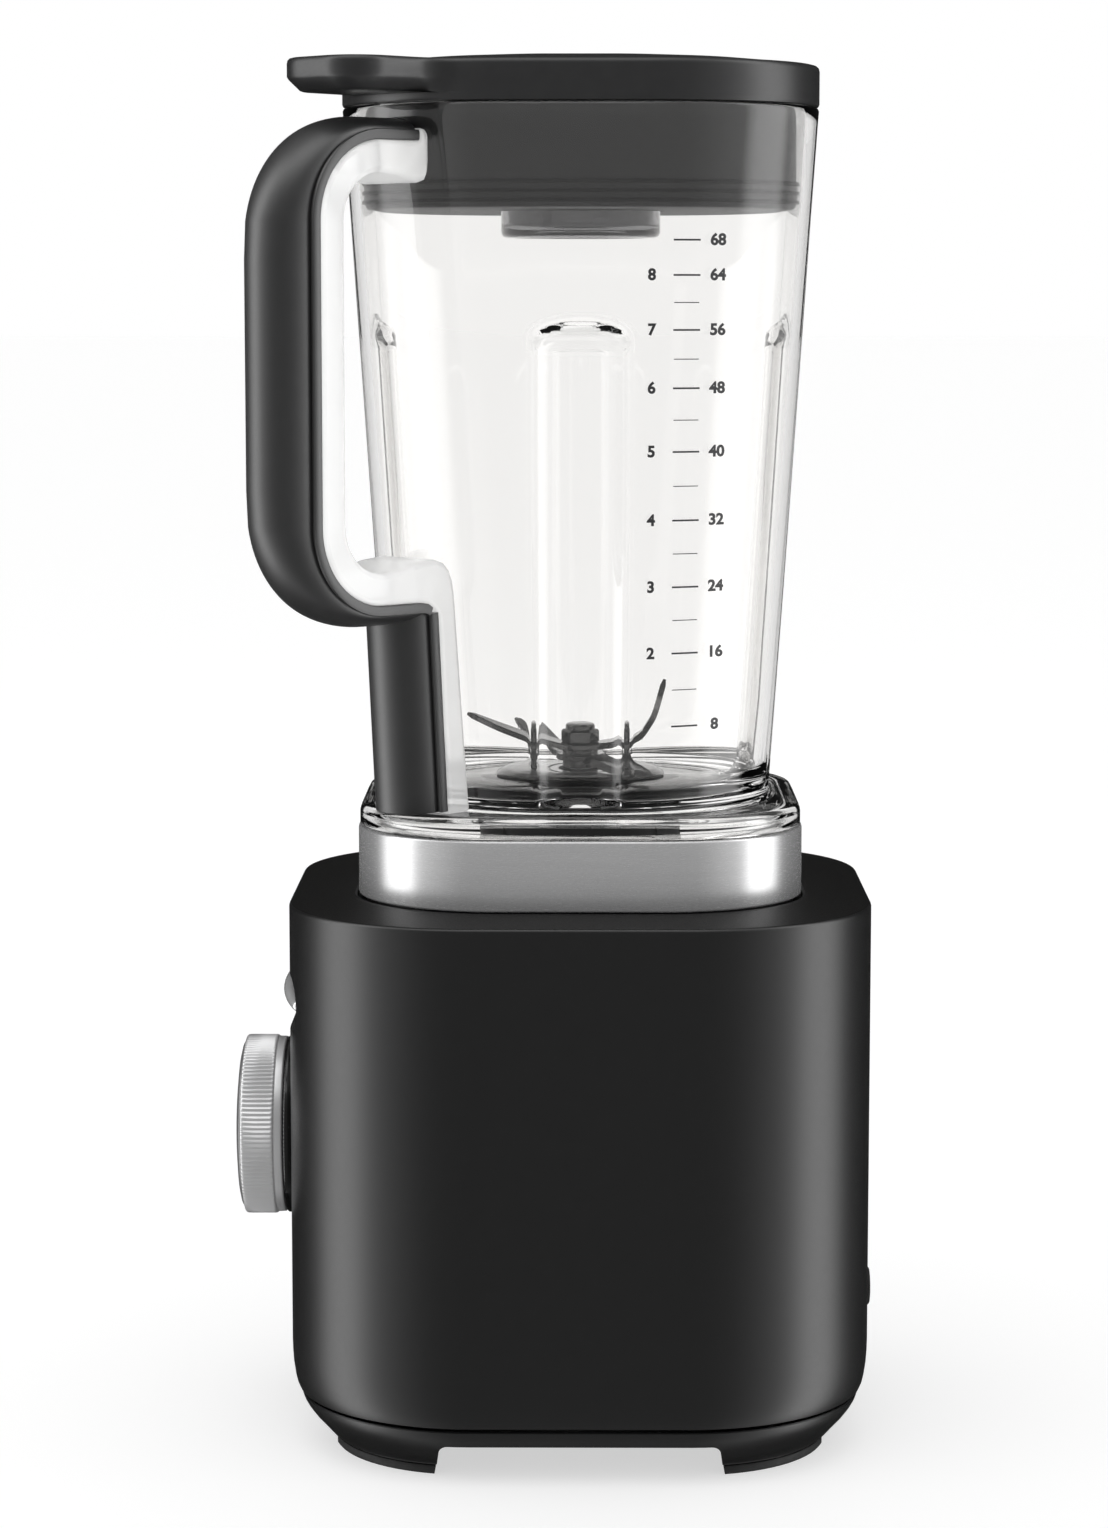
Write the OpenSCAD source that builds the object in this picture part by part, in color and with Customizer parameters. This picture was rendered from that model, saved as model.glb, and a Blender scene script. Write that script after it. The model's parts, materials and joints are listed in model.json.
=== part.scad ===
// Countertop blender: square motor base with a dial and a toggle, clear square jar with a corner
// handle, two crossed blades, and a plug lid with a centre cap.
// Frame: +Z up along the drive axis, origin where that axis meets the table, controls face -X.
// All lengths are in millimetres.

/* [Base] */
// Half width of the motor housing
housing_half = 84.8; // [84:0.2:86]
// Corner radius of the motor housing seen from above
housing_corner = 54; // [52:1:57]
// Wall thickness of the motor housing
housing_wall = 3; // [2.5:0.5:3.5]
// Height of the housing's top edge above the table
housing_top = 160.3; // [160:0.1:160.5]
// Height of the seam between the housing and the base plate
seam_z = 16; // [15:0.5:17]
// Half width of the base plate at the soles of the feet
sole_half = 73; // [72:0.5:75]
// Half length of the arch between two feet
arch_half = 41; // [36:1:44]
// Height of the arch between two feet
arch_z = 10.5; // [9:0.5:11]

/* [Collar and seat] */
// Half width of the metal collar band
collar_half = 64.8; // [64.4:0.2:65.2]
// Corner radius of the metal collar band
collar_corner = 41; // [40:1:43]
// Radius of the round well that the drive sits in
well_radius = 35.5; // [34:0.5:37]

/* [Jar] */
// Half width of the jar outside, at its floor
jar_floor_half = 56; // [55:0.5:57]
// Half width of the jar outside, at its rim
jar_rim_half = 68.5; // [68:0.1:68.5]
// Corner radius of the jar outside
jar_corner = 50; // [48:1:52]
// Wall thickness of the jar
jar_wall = 3.1; // [2.5:0.1:3.3]
// Height of the jar's inner floor
jar_floor_z = 191; // [190.5:0.5:191.5]
// Height of the jar's rim
jar_rim_z = 388.6; // [388:0.1:388.6]
// How far each upright rib stands into the jar
rib_depth = 6; // [5:0.5:9]
// Height of the rounded top of each rib
rib_top_z = 329; // [300:1:345]

/* [Handle] */
// Half width of the handle
handle_half = 12.5; // [11.5:0.5:14]
// Distance from the drive axis to the inner face of the black grip
grip_reach = 111.8; // [108:0.2:114]
// Thickness of the flat rim along the grip
grip_rim = 3; // [2.5:0.5:3.5]
// Greatest depth of the grip's rounded back
grip_depth = 11; // [9:0.5:12]

/* [Lid and cap] */
// Half width of the lid
lid_half = 68.6; // [68.6:0.1:69]
// Corner radius of the lid
lid_corner = 50; // [48:1:51]
// Height of the lid's upper edge
lid_top = 400.5; // [400:0.5:401]
// Reach of the thumb tab from the drive axis, along the handle's diagonal
tab_reach = 104.6; // [98:0.2:108]
// Radius of the clear centre cap
cap_radius = 23.4; // [22:0.2:23.6]

/* [Controls] */
// Radius of the speed dial
dial_radius = 26.9; // [24:0.1:27]
// Height of the dial's axis
dial_z = 87.1; // [86:0.1:89]
// Number of knurls round the dial
dial_knurls = 120; // [60:10:140]
// Height of the toggle's middle
toggle_z = 131; // [130:0.5:132]
// Half length of the toggle bar
toggle_half = 43; // [38:1:44]

/* [Hidden] */
$fn = 96;

// Colours
black_plastic = [0.13, 0.13, 0.135];
charcoal = [0.2, 0.2, 0.205];
rubber = [0.08, 0.08, 0.08];
satin_metal = [0.72, 0.72, 0.73];
steel = [0.62, 0.63, 0.65];
copper = [0.72, 0.42, 0.2];
clear = [0.86, 0.9, 0.92, 0.45];

// Gaps: between bodies that only meet, and round a turning shaft
body_gap = 0.3;
run_gap = 0.03;
hull_steps = 36;

// Heights of the collar, the jar's foot and the lid
deck_z = housing_top + 1.5;
seat_z = deck_z + 20.3;
foot_bottom_z = seat_z + body_gap;
foot_top_z = foot_bottom_z + 6.3;
foot_half = 64.3;
foot_corner = 40;
sole_corner = 40;
foot_ceiling_z = jar_floor_z - 4.5;
lid_bottom = jar_rim_z + body_gap;
plug_half = 62.3;
plug_corner = 46;
plug_bottom = 359.8;
plug_round = 1.4;
plug_wall = 2.5;
gasket_low = 361.2;
rib_pitch = 2.6;
cup_bottom = 352.1;
cup_wall = 2;
crown_z = lid_top + 2.9;
cap_disc_radius = 30;

// The housing's inside
inner_half = housing_half - housing_wall;
inner_corner = housing_corner - housing_wall;

// Motor stack
shaft_radius = 5;
bracket_half = 42;
bolt_place = 34;
motor_plate_low = 44;
motor_plate_high = 134;
motor_plate_thick = 4;
stator_low = 72;
stator_high = 112;
stator_half = 43;
rotor_radius = 23.4;
bearing_outer = 14;

// Drive between base and jar
blade_shaft_radius = 4;
coupler_teeth = 6;
coupler_tip = 12;
coupler_root = 9;
coupler_low = 161;
coupler_high = 175;
housing_barrel = 20.8;
blade_low_z = 198;
blade_high_z = 201.2;
blade_thick = 1.8;

// Toggle
pivot_x = -70.8;
toggle_x = -86.2;
toggle_sag = 4.6;
toggle_rod = 2.3;
pocket_half_y = toggle_half + 5;
pocket_half_z = 8;
pocket_recess = 1.4;
pocket_front_x = pocket_recess - housing_half;
pocket_back_x = -75.3;
toggle_bow = (toggle_half * toggle_half + toggle_sag * toggle_sag) / (2 * toggle_sag);

// Rear cable outlet
gland_z = 37.2;
gland_bore = 3.6;
gland_rim = 3;

// Corner screws
screw_place = 54;

// Dial: height of its turned grip above the ring it sits on
dial_grip_height = 12.3;
dial_face_low = dial_grip_height - 1.8;
pillar_radius = 5;

function jar_half_at(z) = jar_floor_half
  + (jar_rim_half - jar_floor_half) * (z - jar_floor_z) / (jar_rim_z - jar_floor_z);
wall_tilt = atan((jar_rim_half - jar_floor_half) / (jar_rim_z - jar_floor_z));

rib_half = 12.3;
rib_radius = (rib_half * rib_half + rib_depth * rib_depth) / (2 * rib_depth);

// The handle's side outline, in the upright plane through the jar's corner: x is the distance from
// the drive axis and y is the height. It runs from the upper root, round the grip, to the lower root.
grip_bend = 22.6;
grip_high = 355.4;
grip_low = 272;
grip_top_root = 75.8;
grip_low_root = 70;
grip_back = grip_reach + grip_rim + grip_depth;
back_bend = 36;
core_depth = 9;
dome_half = handle_half - 1.2;
bend_x = grip_reach - grip_bend;
dome_dx = grip_back - back_bend - bend_x;
dome_dz = 6.9;
function back_reach(a) = let (b = dome_dx * cos(a) - dome_dz * abs(sin(a)))
  b + sqrt(b * b - dome_dx * dome_dx - dome_dz * dome_dz + back_bend * back_bend);
function dome_depth(a) = min(grip_depth, back_reach(a) - grip_bend - grip_rim);
// Each station: place x, place y, direction of the outward normal in degrees
grip_stations = concat(
  [[grip_top_root, grip_high + grip_bend, 90]],
  [for (a = [90 : -7.5 : 0]) [bend_x + grip_bend * cos(a), grip_high + grip_bend * sin(a), a]],
  [for (a = [0 : -7.5 : -90]) [bend_x + grip_bend * cos(a), grip_low + grip_bend * sin(a), a]],
  [[grip_low_root, grip_low - grip_bend, -90]]);

// Half-round section of the grip: x across the handle, y outward from the clear core
function grip_section(depth) = concat(
  [[-handle_half, 0], [handle_half, 0], [handle_half, grip_rim]],
  [for (t = [0 : 15 : 180]) [dome_half * cos(t), grip_rim + depth * sin(t)]],
  [[-handle_half, grip_rim]]);

module rounded_square(half, corner) {
  square([2 * half, 2 * (half - corner)], center = true);
  square([2 * (half - corner), 2 * half], center = true);
  for (sx = [-1, 1]) for (sy = [-1, 1])
    translate([sx * (half - corner), sy * (half - corner)]) circle(corner);
}

module rounded_block(half, corner, z, height) {
  translate([0, 0, z]) linear_extrude(height) rounded_square(half, corner);
}

// A thin slice that hull() joins to its neighbours
module slice(half, corner, z) {
  translate([0, 0, z]) linear_extrude(0.01) rounded_square(half, corner, $fn = hull_steps);
}

module ring(inner, outer, z, height) {
  translate([0, 0, z]) difference() {
    cylinder(r = outer, h = height);
    translate([0, 0, -1]) cylinder(r = inner, h = height + 2);
  }
}

module at_four(place) {
  for (sx = [-1, 1]) for (sy = [-1, 1])
    translate([sx * place, sy * place, 0]) children();
}

// A part turned round an axis that points out of the front, with its height measured outward
module facing_front(x, z) {
  translate([-x, 0, z]) rotate([0, -90, 0]) children();
}

// Carries an outline drawn as (distance from axis, height) into the handle's upright plane
module along_handle(width) {
  rotate([0, 0, 225]) rotate([90, 0, 0]) translate([0, 0, -width / 2]) linear_extrude(width) children();
}

// ---------------------------------------------------------------- base

module front_pocket(clearance) {
  square([2 * (pocket_half_z + clearance), 2 * (pocket_half_y - pocket_half_z)], center = true);
  for (s = [-1, 1]) translate([0, s * (pocket_half_y - pocket_half_z)]) circle(pocket_half_z + clearance);
}

module base_housing() color(black_plastic) {
  skin_low = seam_z + 0.4;
  ceiling = housing_top - 3;
  standoff = 3;
  difference() {
    union() {
      rounded_block(housing_half, housing_corner, skin_low, housing_top - 0.8 - skin_low);
      hull() {
        slice(housing_half, housing_corner, housing_top - 0.81);
        slice(housing_half - 0.8, housing_corner - 0.8, housing_top - 0.01);
        slice(collar_half + 1, collar_corner + 1, deck_z - 0.01);
      }
    }
    rounded_block(inner_half, inner_corner, skin_low - 1, ceiling - skin_low + 1);
    rounded_block(collar_half - 2.1, collar_corner - 2.1, ceiling - 1, 20);
    facing_front(-pocket_back_x, toggle_z) linear_extrude(20) front_pocket(0.1);
    facing_front(inner_half - 1, dial_z) cylinder(r = 5.1, h = 10);
    translate([inner_half - 1, 0, gland_z]) rotate([0, 90, 0]) cylinder(r = 5, h = 10);
  }
  at_four(screw_place) difference() {
    translate([0, 0, skin_low + 4.6]) cylinder(r = pillar_radius, h = ceiling - skin_low - 4.6);
    translate([0, 0, skin_low]) cylinder(r = 1.6, h = 30);
  }
  for (sy = [-1, 1]) for (z = [60, 113])
    translate([0, sy * 25, z]) facing_front(77, 0) cylinder(r = standoff, h = inner_half - 77);
}

module sole_outline() {
  difference() {
    rounded_square(sole_half, sole_corner);
    square([2 * arch_half, 200], center = true);
    square([200, 2 * arch_half], center = true);
    rounded_square(sole_half - 16, sole_corner - 4);
  }
}

module base_plate() color(black_plastic) {
  floor_z = arch_z + 2;
  difference() {
    hull() {
      slice(housing_half - 0.8, housing_corner - 0.8, seam_z - 0.51);
      slice(housing_half - 1.8, housing_corner - 1.8, seam_z - 3);
      slice(sole_half + 1, sole_corner + 1, 2.5);
    }
    for (turn = [0, 90]) rotate([0, 0, turn])
      translate([-arch_half, -100, 0]) cube([2 * arch_half, 200, arch_z]);
    rounded_block(sole_half - 16, sole_corner - 4, 0, arch_z);
    rounded_block(inner_half - 4, inner_corner - 4, floor_z, 10);
    at_four(screw_place) translate([0, 0, -1]) cylinder(r = 2.2, h = 30);
    at_four(screw_place) translate([0, 0, -1]) cylinder(r = 4.5, h = 8);
  }
  difference() {
    rounded_block(inner_half - 0.2, inner_corner - 0.2, seam_z - 1, 4.5);
    rounded_block(inner_half - 2.4, inner_corner - 2.4, seam_z - 2, 8);
  }
  at_four(screw_place) difference() {
    translate([0, 0, arch_z]) cylinder(r = 5, h = seam_z + 5 - arch_z);
    translate([0, 0, arch_z - 1]) cylinder(r = 2.2, h = 20);
  }
  at_four(bolt_place) translate([0, 0, floor_z]) cylinder(r = 8, h = motor_plate_low - 10 - floor_z);
}

module foot_pads() color(rubber) {
  linear_extrude(2.5) difference() {
    sole_outline();
    at_four(screw_place) circle(4.6);
  }
}

module base_screws() color(steel) {
  head_z = 7.2;
  at_four(screw_place) {
    translate([0, 0, head_z - 2.4]) difference() {
      cylinder(r = 3.8, h = 2.2);
      cylinder(r = 1.6, h = 1.2, $fn = 6);
    }
    translate([0, 0, head_z - 0.2]) cylinder(r = 1.6, h = 24);
  }
}

module collar_band() color(satin_metal) difference() {
  rounded_block(collar_half, collar_corner, deck_z, seat_z - deck_z);
  rounded_block(collar_half - 2, collar_corner - 2, deck_z - 1, seat_z - deck_z + 2);
}

module jar_seat() color(charcoal) {
  top = seat_z - 2.7;
  flange_low = housing_top - 6.2;
  difference() {
    union() {
      rounded_block(collar_half + 4, collar_corner + 4, flange_low, 3);
      rounded_block(collar_half - 2.3, collar_corner - 2.3, flange_low, top - flange_low);
    }
    rounded_block(collar_half - 5.3, collar_corner - 5.3, flange_low - 1, top - 2 - flange_low);
    cylinder(r = well_radius, h = 300);
    at_four(screw_place) translate([0, 0, flange_low - 1]) cylinder(r = pillar_radius + 0.4, h = 5);
  }
  ring(well_radius, well_radius + 2.5, housing_top - 1.5, top - housing_top + 1.5);
  ring(13, well_radius + 2.5, housing_top - 1.5, 2);
}

module seat_pad() color(rubber) difference() {
  rounded_block(collar_half - 3.5, collar_corner - 3.5, seat_z - 2.7, 2.7);
  cylinder(r = well_radius + 1, h = 300);
}

module cord_gland() color(rubber) difference() {
  union() {
    translate([housing_half, 0, gland_z]) rotate([0, 90, 0]) cylinder(r = 5.85, h = gland_rim);
    translate([inner_half - 5, 0, gland_z]) rotate([0, 90, 0]) cylinder(r = 4.95, h = housing_wall + 5);
    translate([inner_half - 4, 0, gland_z]) rotate([0, 90, 0]) cylinder(r = 7.5, h = 3.9);
  }
  translate([inner_half - 6, 0, gland_z]) rotate([0, 90, 0]) cylinder(r = gland_bore, h = 20);
}

module dial_bezel() color(rubber)
  facing_front(housing_half, dial_z) ring(20, dial_radius - 0.3, 0, 3);

// Its front follows the housing round to the corners, just below the surface
module toggle_bezel() color(black_plastic) intersection() {
  facing_front(-pocket_back_x, toggle_z) difference() {
    linear_extrude(20) front_pocket(0);
    translate([0, 0, 1.5]) linear_extrude(20) front_pocket(-1.2);
    translate([-6.5, -8, -1]) cube([13, 16, 5]);
  }
  rounded_block(-pocket_front_x, housing_corner - pocket_recess, toggle_z - 20, 40);
}

module toggle_bracket() color(steel) {
  cheek_y = 7;
  difference() {
    for (s = [-1, 1]) translate([pocket_back_x + 0.1, s * (cheek_y + 1) - 1, toggle_z - 14]) cube([19, 2, 28]);
    translate([pivot_x, 0, toggle_z]) rotate([90, 0, 0]) cylinder(r = 1.5, h = 40, center = true);
  }
  translate([pocket_back_x + 17.1, -cheek_y, toggle_z - 14]) cube([2, 2 * cheek_y, 28]);
}

module toggle_pin() color(steel)
  translate([pivot_x, 0, toggle_z]) rotate([90, 0, 0]) cylinder(r = 1.5, h = 20, center = true);

module toggle_switches() color(charcoal)
  for (s = [-1, 1]) translate([pivot_x + 3.6, -6.9, toggle_z + s * 8.5 - 3.5]) {
    cube([9, 13.8, 7]);
    translate([1, 6, s > 0 ? -0.8 : 7]) cube([2, 2, 0.8]);
  }

module dial_encoder() color(steel) difference() {
  union() {
    facing_front(77.1, dial_z) translate([-8, -8, 0]) cube([16, 16, inner_half - 77.2]);
    facing_front(inner_half - 1, dial_z) cylinder(r = 5, h = housing_wall + 1.5);
  }
  facing_front(78.1, dial_z) cylinder(r = 3 + run_gap, h = 20);
}

module control_board() color([0.1, 0.35, 0.2])
  translate([-77, -29, 55]) cube([1.6, 58, 61]);

module heat_sink() color(satin_metal) {
  fins = 7;
  translate([-75.4, -27, 92]) {
    cube([2.5, 24, 22]);
    for (i = [0 : fins - 1]) translate([2.5, i * 3.7, 0]) cube([12, 1.6, 22]);
  }
}

module board_parts() color([0.25, 0.3, 0.5]) {
  translate([-75.4, 14, 100]) rotate([0, 90, 0]) cylinder(r = 8, h = 22);
  translate([-75.4, 6, 62]) cube([14, 18, 22]);
  translate([-75.4, -24, 62]) cube([9, 16, 14]);
}

module motor_legs(z, height) {
  at_four(bolt_place) difference() {
    translate([0, 0, z]) cylinder(r = 5, h = height);
    translate([0, 0, z - 1]) cylinder(r = 2.3, h = height + 2);
  }
}

module motor_plate(z) {
  translate([0, 0, z]) linear_extrude(motor_plate_thick) difference() {
    rounded_square(bracket_half, 12);
    circle(10);
    at_four(bolt_place) circle(2.3);
    for (a = [0 : 90 : 270]) rotate(a) translate([28, 0]) square([12, 26], center = true);
  }
}

module motor_bracket_upper() color(satin_metal) {
  motor_plate(motor_plate_high);
  motor_legs(stator_high, motor_plate_high - stator_high);
  ring(bearing_outer, bearing_outer + 3, motor_plate_high + motor_plate_thick, 16);
  ring(9, bearing_outer + 3, motor_plate_high + motor_plate_thick, 5);
}

module motor_bracket_lower() color(satin_metal) {
  motor_plate(motor_plate_low);
  motor_legs(motor_plate_low + motor_plate_thick, stator_low - motor_plate_low - motor_plate_thick);
  ring(bearing_outer, bearing_outer + 3, motor_plate_low - 11, 11);
  ring(9, bearing_outer + 3, motor_plate_low - 11, 2.5);
}

module motor_bolts() color(steel)
  at_four(bolt_place) {
    translate([0, 0, motor_plate_low]) cylinder(r = 2.1, h = 96);
    translate([0, 0, motor_plate_high + motor_plate_thick]) cylinder(r = 4, h = 3, $fn = 6);
  }

module motor_bearings() color(steel) {
  ring(shaft_radius + run_gap, bearing_outer, motor_plate_high + motor_plate_thick + 5, 8);
  ring(shaft_radius + run_gap, bearing_outer, motor_plate_low - 8.5, 8);
}

module stator_core() color(steel)
  translate([0, 0, stator_low]) linear_extrude(stator_high - stator_low) difference() {
    rounded_square(stator_half, 12);
    circle(rotor_radius + 0.6);
    at_four(bolt_place) circle(2.3);
    for (s = [-1, 1]) translate([s * 28, 0]) square([16, 30], center = true);
  }

module field_coils() color(copper)
  for (turn = [40, 220]) for (z = [stator_low - 9, stator_high])
    translate([0, 0, z]) rotate([0, 0, turn]) rotate_extrude(angle = 100) {
      translate([27, 0]) square([11, 7]);
      translate([29, 0]) square([7, 9]);
    }

module brush_holders() color([0.55, 0.42, 0.2])
  for (turn = [0, 180]) rotate([0, 0, turn]) difference() {
    translate([15, -6, 123]) cube([22, 12, 11]);
    translate([14, -4, 125]) cube([24, 8, 6.4]);
  }

module carbon_brushes() color([0.15, 0.15, 0.15])
  for (turn = [0, 180]) rotate([0, 0, turn])
    translate([13.4, -3.9, 125.1]) cube([16, 7.8, 6.2]);

module fan_shroud() color(charcoal) ring(38.5, 40.5, motor_plate_low + motor_plate_thick, 13);

module vibration_mounts() color(rubber)
  at_four(bolt_place) translate([0, 0, motor_plate_low - 10]) {
    cylinder(r = 8, h = 4);
    cylinder(r = 6, h = 10);
    translate([0, 0, 6]) cylinder(r = 8, h = 4);
  }

// ---------------------------------------------------------------- motor

module motor_shaft() color(steel) {
  translate([0, 0, motor_plate_low - 10]) cylinder(r = shaft_radius, h = coupler_high - 1 - motor_plate_low + 10);
}

module rotor_core() color(steel)
  translate([0, 0, stator_low - 1]) linear_extrude(stator_high - stator_low + 2) difference() {
    circle(rotor_radius);
    circle(shaft_radius);
    for (a = [0 : 30 : 330]) rotate(a) translate([rotor_radius - 3, 0]) square([5, 2.4], center = true);
  }

module rotor_windings() color(copper) {
  ring(shaft_radius + 2, 20, stator_high + 1, 8);
  ring(shaft_radius + 2, 20, stator_low - 9, 8);
}

module commutator() color(copper)
  translate([0, 0, stator_high + 10]) linear_extrude(11) difference() {
    circle(13);
    circle(shaft_radius);
    for (a = [0 : 30 : 330]) rotate(a) translate([12.5, 0]) square([2, 0.6], center = true);
  }

module cooling_fan() color(charcoal)
  translate([0, 0, motor_plate_low + motor_plate_thick + 1.2]) {
    ring(shaft_radius, 10, 0, 11);
    ring(10, 36, 0, 1.6);
    for (a = [0 : 30 : 330]) rotate([0, 0, a])
      translate([0, 0, 1.6]) linear_extrude(8) translate([21, -0.8]) square([14, 1.6]);
  }

function coupler_star(grow) = [for (i = [0 : 4 * coupler_teeth - 1])
  let (r = (i % 4 < 2 ? coupler_tip : coupler_root) + grow, a = (i + 0.5) * 90 / coupler_teeth)
  [r * cos(a), r * sin(a)]];

module base_coupler() color(charcoal) difference() {
  union() {
    translate([0, 0, coupler_low + 2]) linear_extrude(coupler_high - coupler_low - 2) polygon(coupler_star(0));
    translate([0, 0, coupler_low]) cylinder(r = 11, h = 2);
  }
  translate([0, 0, coupler_low - 1]) cylinder(r = shaft_radius, h = coupler_high - coupler_low);
}

// ---------------------------------------------------------------- controls

module dial_knob() color(satin_metal)
  facing_front(housing_half + 3.3, dial_z) difference() {
    union() {
      cylinder(r = dial_radius - 0.6, h = 3);
      translate([0, 0, 2.6]) linear_extrude(dial_grip_height - 2.6) polygon([for (i = [0 : 2 * dial_knurls - 1])
        let (r = dial_radius - (i % 2) * 0.35) [r * cos(i * 180 / dial_knurls), r * sin(i * 180 / dial_knurls)]]);
    }
    translate([0, 0, dial_face_low]) cylinder(r = dial_radius - 1.6, h = 5);
    difference() {
      translate([0, 0, -1]) cylinder(r = dial_radius - 2.4, h = 8.6);
      translate([0, 0, -1]) cylinder(r = 7, h = 9);
    }
    translate([0, 0, -1]) cylinder(r = 5.4, h = 2.2);
    translate([0, 0, -1]) cylinder(r = 3, h = 8);
  }

module dial_face() color(satin_metal)
  facing_front(housing_half + 3.3 + dial_face_low, dial_z) rotate_extrude()
    polygon(concat([[0, 0], [dial_radius - 1.75, 0], [dial_radius - 1.75, 2]],
      [for (t = [20 : 10 : 90]) [(dial_radius - 1.9) * cos(t), 2 + 2.2 * sin(t)]]));

module dial_shaft() color(steel)
  facing_front(78.4, dial_z) cylinder(r = 3, h = housing_half + 3.3 + 7 - 78.4);

module toggle_bar() color(satin_metal) {
  reach = asin(toggle_half / toggle_bow);
  translate([toggle_x + toggle_bow, 0, toggle_z]) {
    rotate([0, 0, 180 - reach]) rotate_extrude(angle = 2 * reach) translate([toggle_bow, 0]) circle(toggle_rod);
    for (s = [-1, 1]) rotate([0, 0, 180 + s * reach]) translate([toggle_bow, 0, 0]) sphere(r = toggle_rod);
  }
}

module toggle_arm() color(steel) difference() {
  union() {
    translate([pivot_x, 0, toggle_z]) rotate([90, 0, 0]) cylinder(r = 4, h = 13, center = true);
    translate([toggle_x + toggle_rod - 0.4, -6, toggle_z - 1.6]) cube([pivot_x - toggle_x - 3, 12, 3.2]);
    translate([pivot_x + 2, -5, toggle_z - 1.2]) cube([8, 10, 2.4]);
  }
  translate([pivot_x, 0, toggle_z]) rotate([90, 0, 0]) cylinder(r = 1.5 + run_gap, h = 20, center = true);
  translate([toggle_x + toggle_bow, 0, toggle_z]) rotate([0, 0, 170]) rotate_extrude(angle = 20)
    translate([toggle_bow, 0]) circle(toggle_rod);
}

// ---------------------------------------------------------------- jar

module handle_core_outline() {
  polygon(concat([for (s = grip_stations) [s[0], s[1]]],
    [for (i = [len(grip_stations) - 1 : -1 : 0]) let (s = grip_stations[i])
      [s[0] - core_depth * cos(s[2]), s[1] - core_depth * sin(s[2])]]));
  upper = grip_high + grip_bend;
  lower = grip_low - grip_bend;
  polygon([[56, upper], [grip_top_root + 1, upper], [86, upper - core_depth], [80, upper - 12],
    [74, upper - 14], [56, upper - 14]]);
  polygon([[52, foot_top_z - 1], [65, foot_top_z - 1], [68.6, lower - 4], [grip_low_root, lower],
    [82, lower], [82, lower + core_depth], [76, lower + core_depth + 1.5], [70, lower + core_depth + 5],
    [52, lower + core_depth + 5]]);
}

// An upright rib or flute on each wall, leaning with the wall and rounded at the top
module flutes(radius, low_z) {
  centre_out = rib_radius - rib_depth;
  tip_z = rib_top_z - rib_radius;
  for (turn = [0 : 90 : 270]) rotate([0, 0, turn])
    translate([0, -(jar_half_at(low_z) + centre_out), low_z]) rotate([wall_tilt, 0, 0]) {
      cylinder(r = radius, h = tip_z - low_z);
      translate([0, 0, tip_z - low_z]) sphere(r = radius);
    }
}

module jar() color(clear) {
  difference() {
    union() {
      hull() {
        slice(jar_half_at(foot_top_z - 1), jar_corner, foot_top_z - 1);
        slice(jar_rim_half, jar_corner, jar_rim_z - 0.01);
      }
      rounded_block(foot_half, foot_corner, foot_bottom_z, foot_top_z - foot_bottom_z);
      along_handle(2 * handle_half) handle_core_outline();
    }
    difference() {
      hull() {
        slice(jar_floor_half - jar_wall, jar_corner - jar_wall, jar_floor_z);
        slice(jar_rim_half - jar_wall + 0.1, jar_corner - jar_wall, jar_rim_z + 1.5);
      }
      flutes(rib_radius + jar_wall, jar_floor_z - 2);
    }
    flutes(rib_radius, jar_floor_z);
    rounded_block(foot_half - 4, foot_corner - 4, foot_bottom_z - 1, foot_ceiling_z - foot_bottom_z + 1);
    cylinder(r = housing_barrel + 0.2, h = 300);
  }
}

module handle_grip() color(charcoal) {
  sides = len(grip_section(1));
  rings = len(grip_stations);
  ends = [grip_stations[0], grip_stations[rings - 1]];
  points = concat(
    [for (s = grip_stations) for (p = grip_section(dome_depth(s[2])))
      [s[0] + p[1] * cos(s[2]), p[0], s[1] + p[1] * sin(s[2])]],
    [for (s = ends) [s[0] + cos(s[2]), 0, s[1] + sin(s[2])]]);
  faces = concat(
    [for (k = [0 : sides - 1]) [k, (k + 1) % sides, rings * sides]],
    [for (i = [0 : rings - 2]) for (k = [0 : sides - 1])
      [i * sides + k, (i + 1) * sides + k, (i + 1) * sides + (k + 1) % sides]],
    [for (i = [0 : rings - 2]) for (k = [0 : sides - 1])
      [i * sides + k, (i + 1) * sides + (k + 1) % sides, i * sides + (k + 1) % sides]],
    [for (k = [0 : sides - 1])
      [(rings - 1) * sides + (k + 1) % sides, (rings - 1) * sides + k, rings * sides + 1]]);
  rotate([0, 0, 225]) polyhedron(points, faces);
  column_low = foot_top_z + 0.8;
  column_high = grip_low - grip_bend - 4.2;
  lean = atan(3.6 / 59);
  rotate([0, 0, 225]) difference() {
    translate([65.3, 0, foot_top_z]) rotate([0, lean, 0]) rotate([0, 0, -90])
      translate([0, 0, 0.8]) linear_extrude(column_high - column_low) polygon(grip_section(grip_depth - 1));
    translate([40, -30, 0]) cube([60, 60, column_low - 0.4]);
  }
}

module bearing_housing() color(steel) rotate_extrude() polygon([
  [11, 178], [housing_barrel, 178], [housing_barrel, jar_floor_z + 1], [25, jar_floor_z + 1],
  [25, jar_floor_z + 2.4], [22, jar_floor_z + 4], [8, jar_floor_z + 4], [8, jar_floor_z + 2.2],
  [11, jar_floor_z + 2.2]]);

module housing_gasket() color(rubber) ring(housing_barrel, 25, jar_floor_z, 1);

module retaining_nut() color(charcoal) difference() {
  translate([0, 0, foot_ceiling_z - 5]) cylinder(r = 30, h = 5);
  translate([0, 0, foot_ceiling_z - 6]) cylinder(r = housing_barrel, h = 8);
  for (a = [0 : 45 : 315]) rotate([0, 0, a]) translate([29, -2, foot_ceiling_z - 6]) cube([4, 4, 8]);
}

module jar_bearings() color(steel) {
  ring(blade_shaft_radius + run_gap, 11, 181, 5.5);
  ring(blade_shaft_radius + run_gap, 11, 187.5, 5.5);
}

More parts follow.
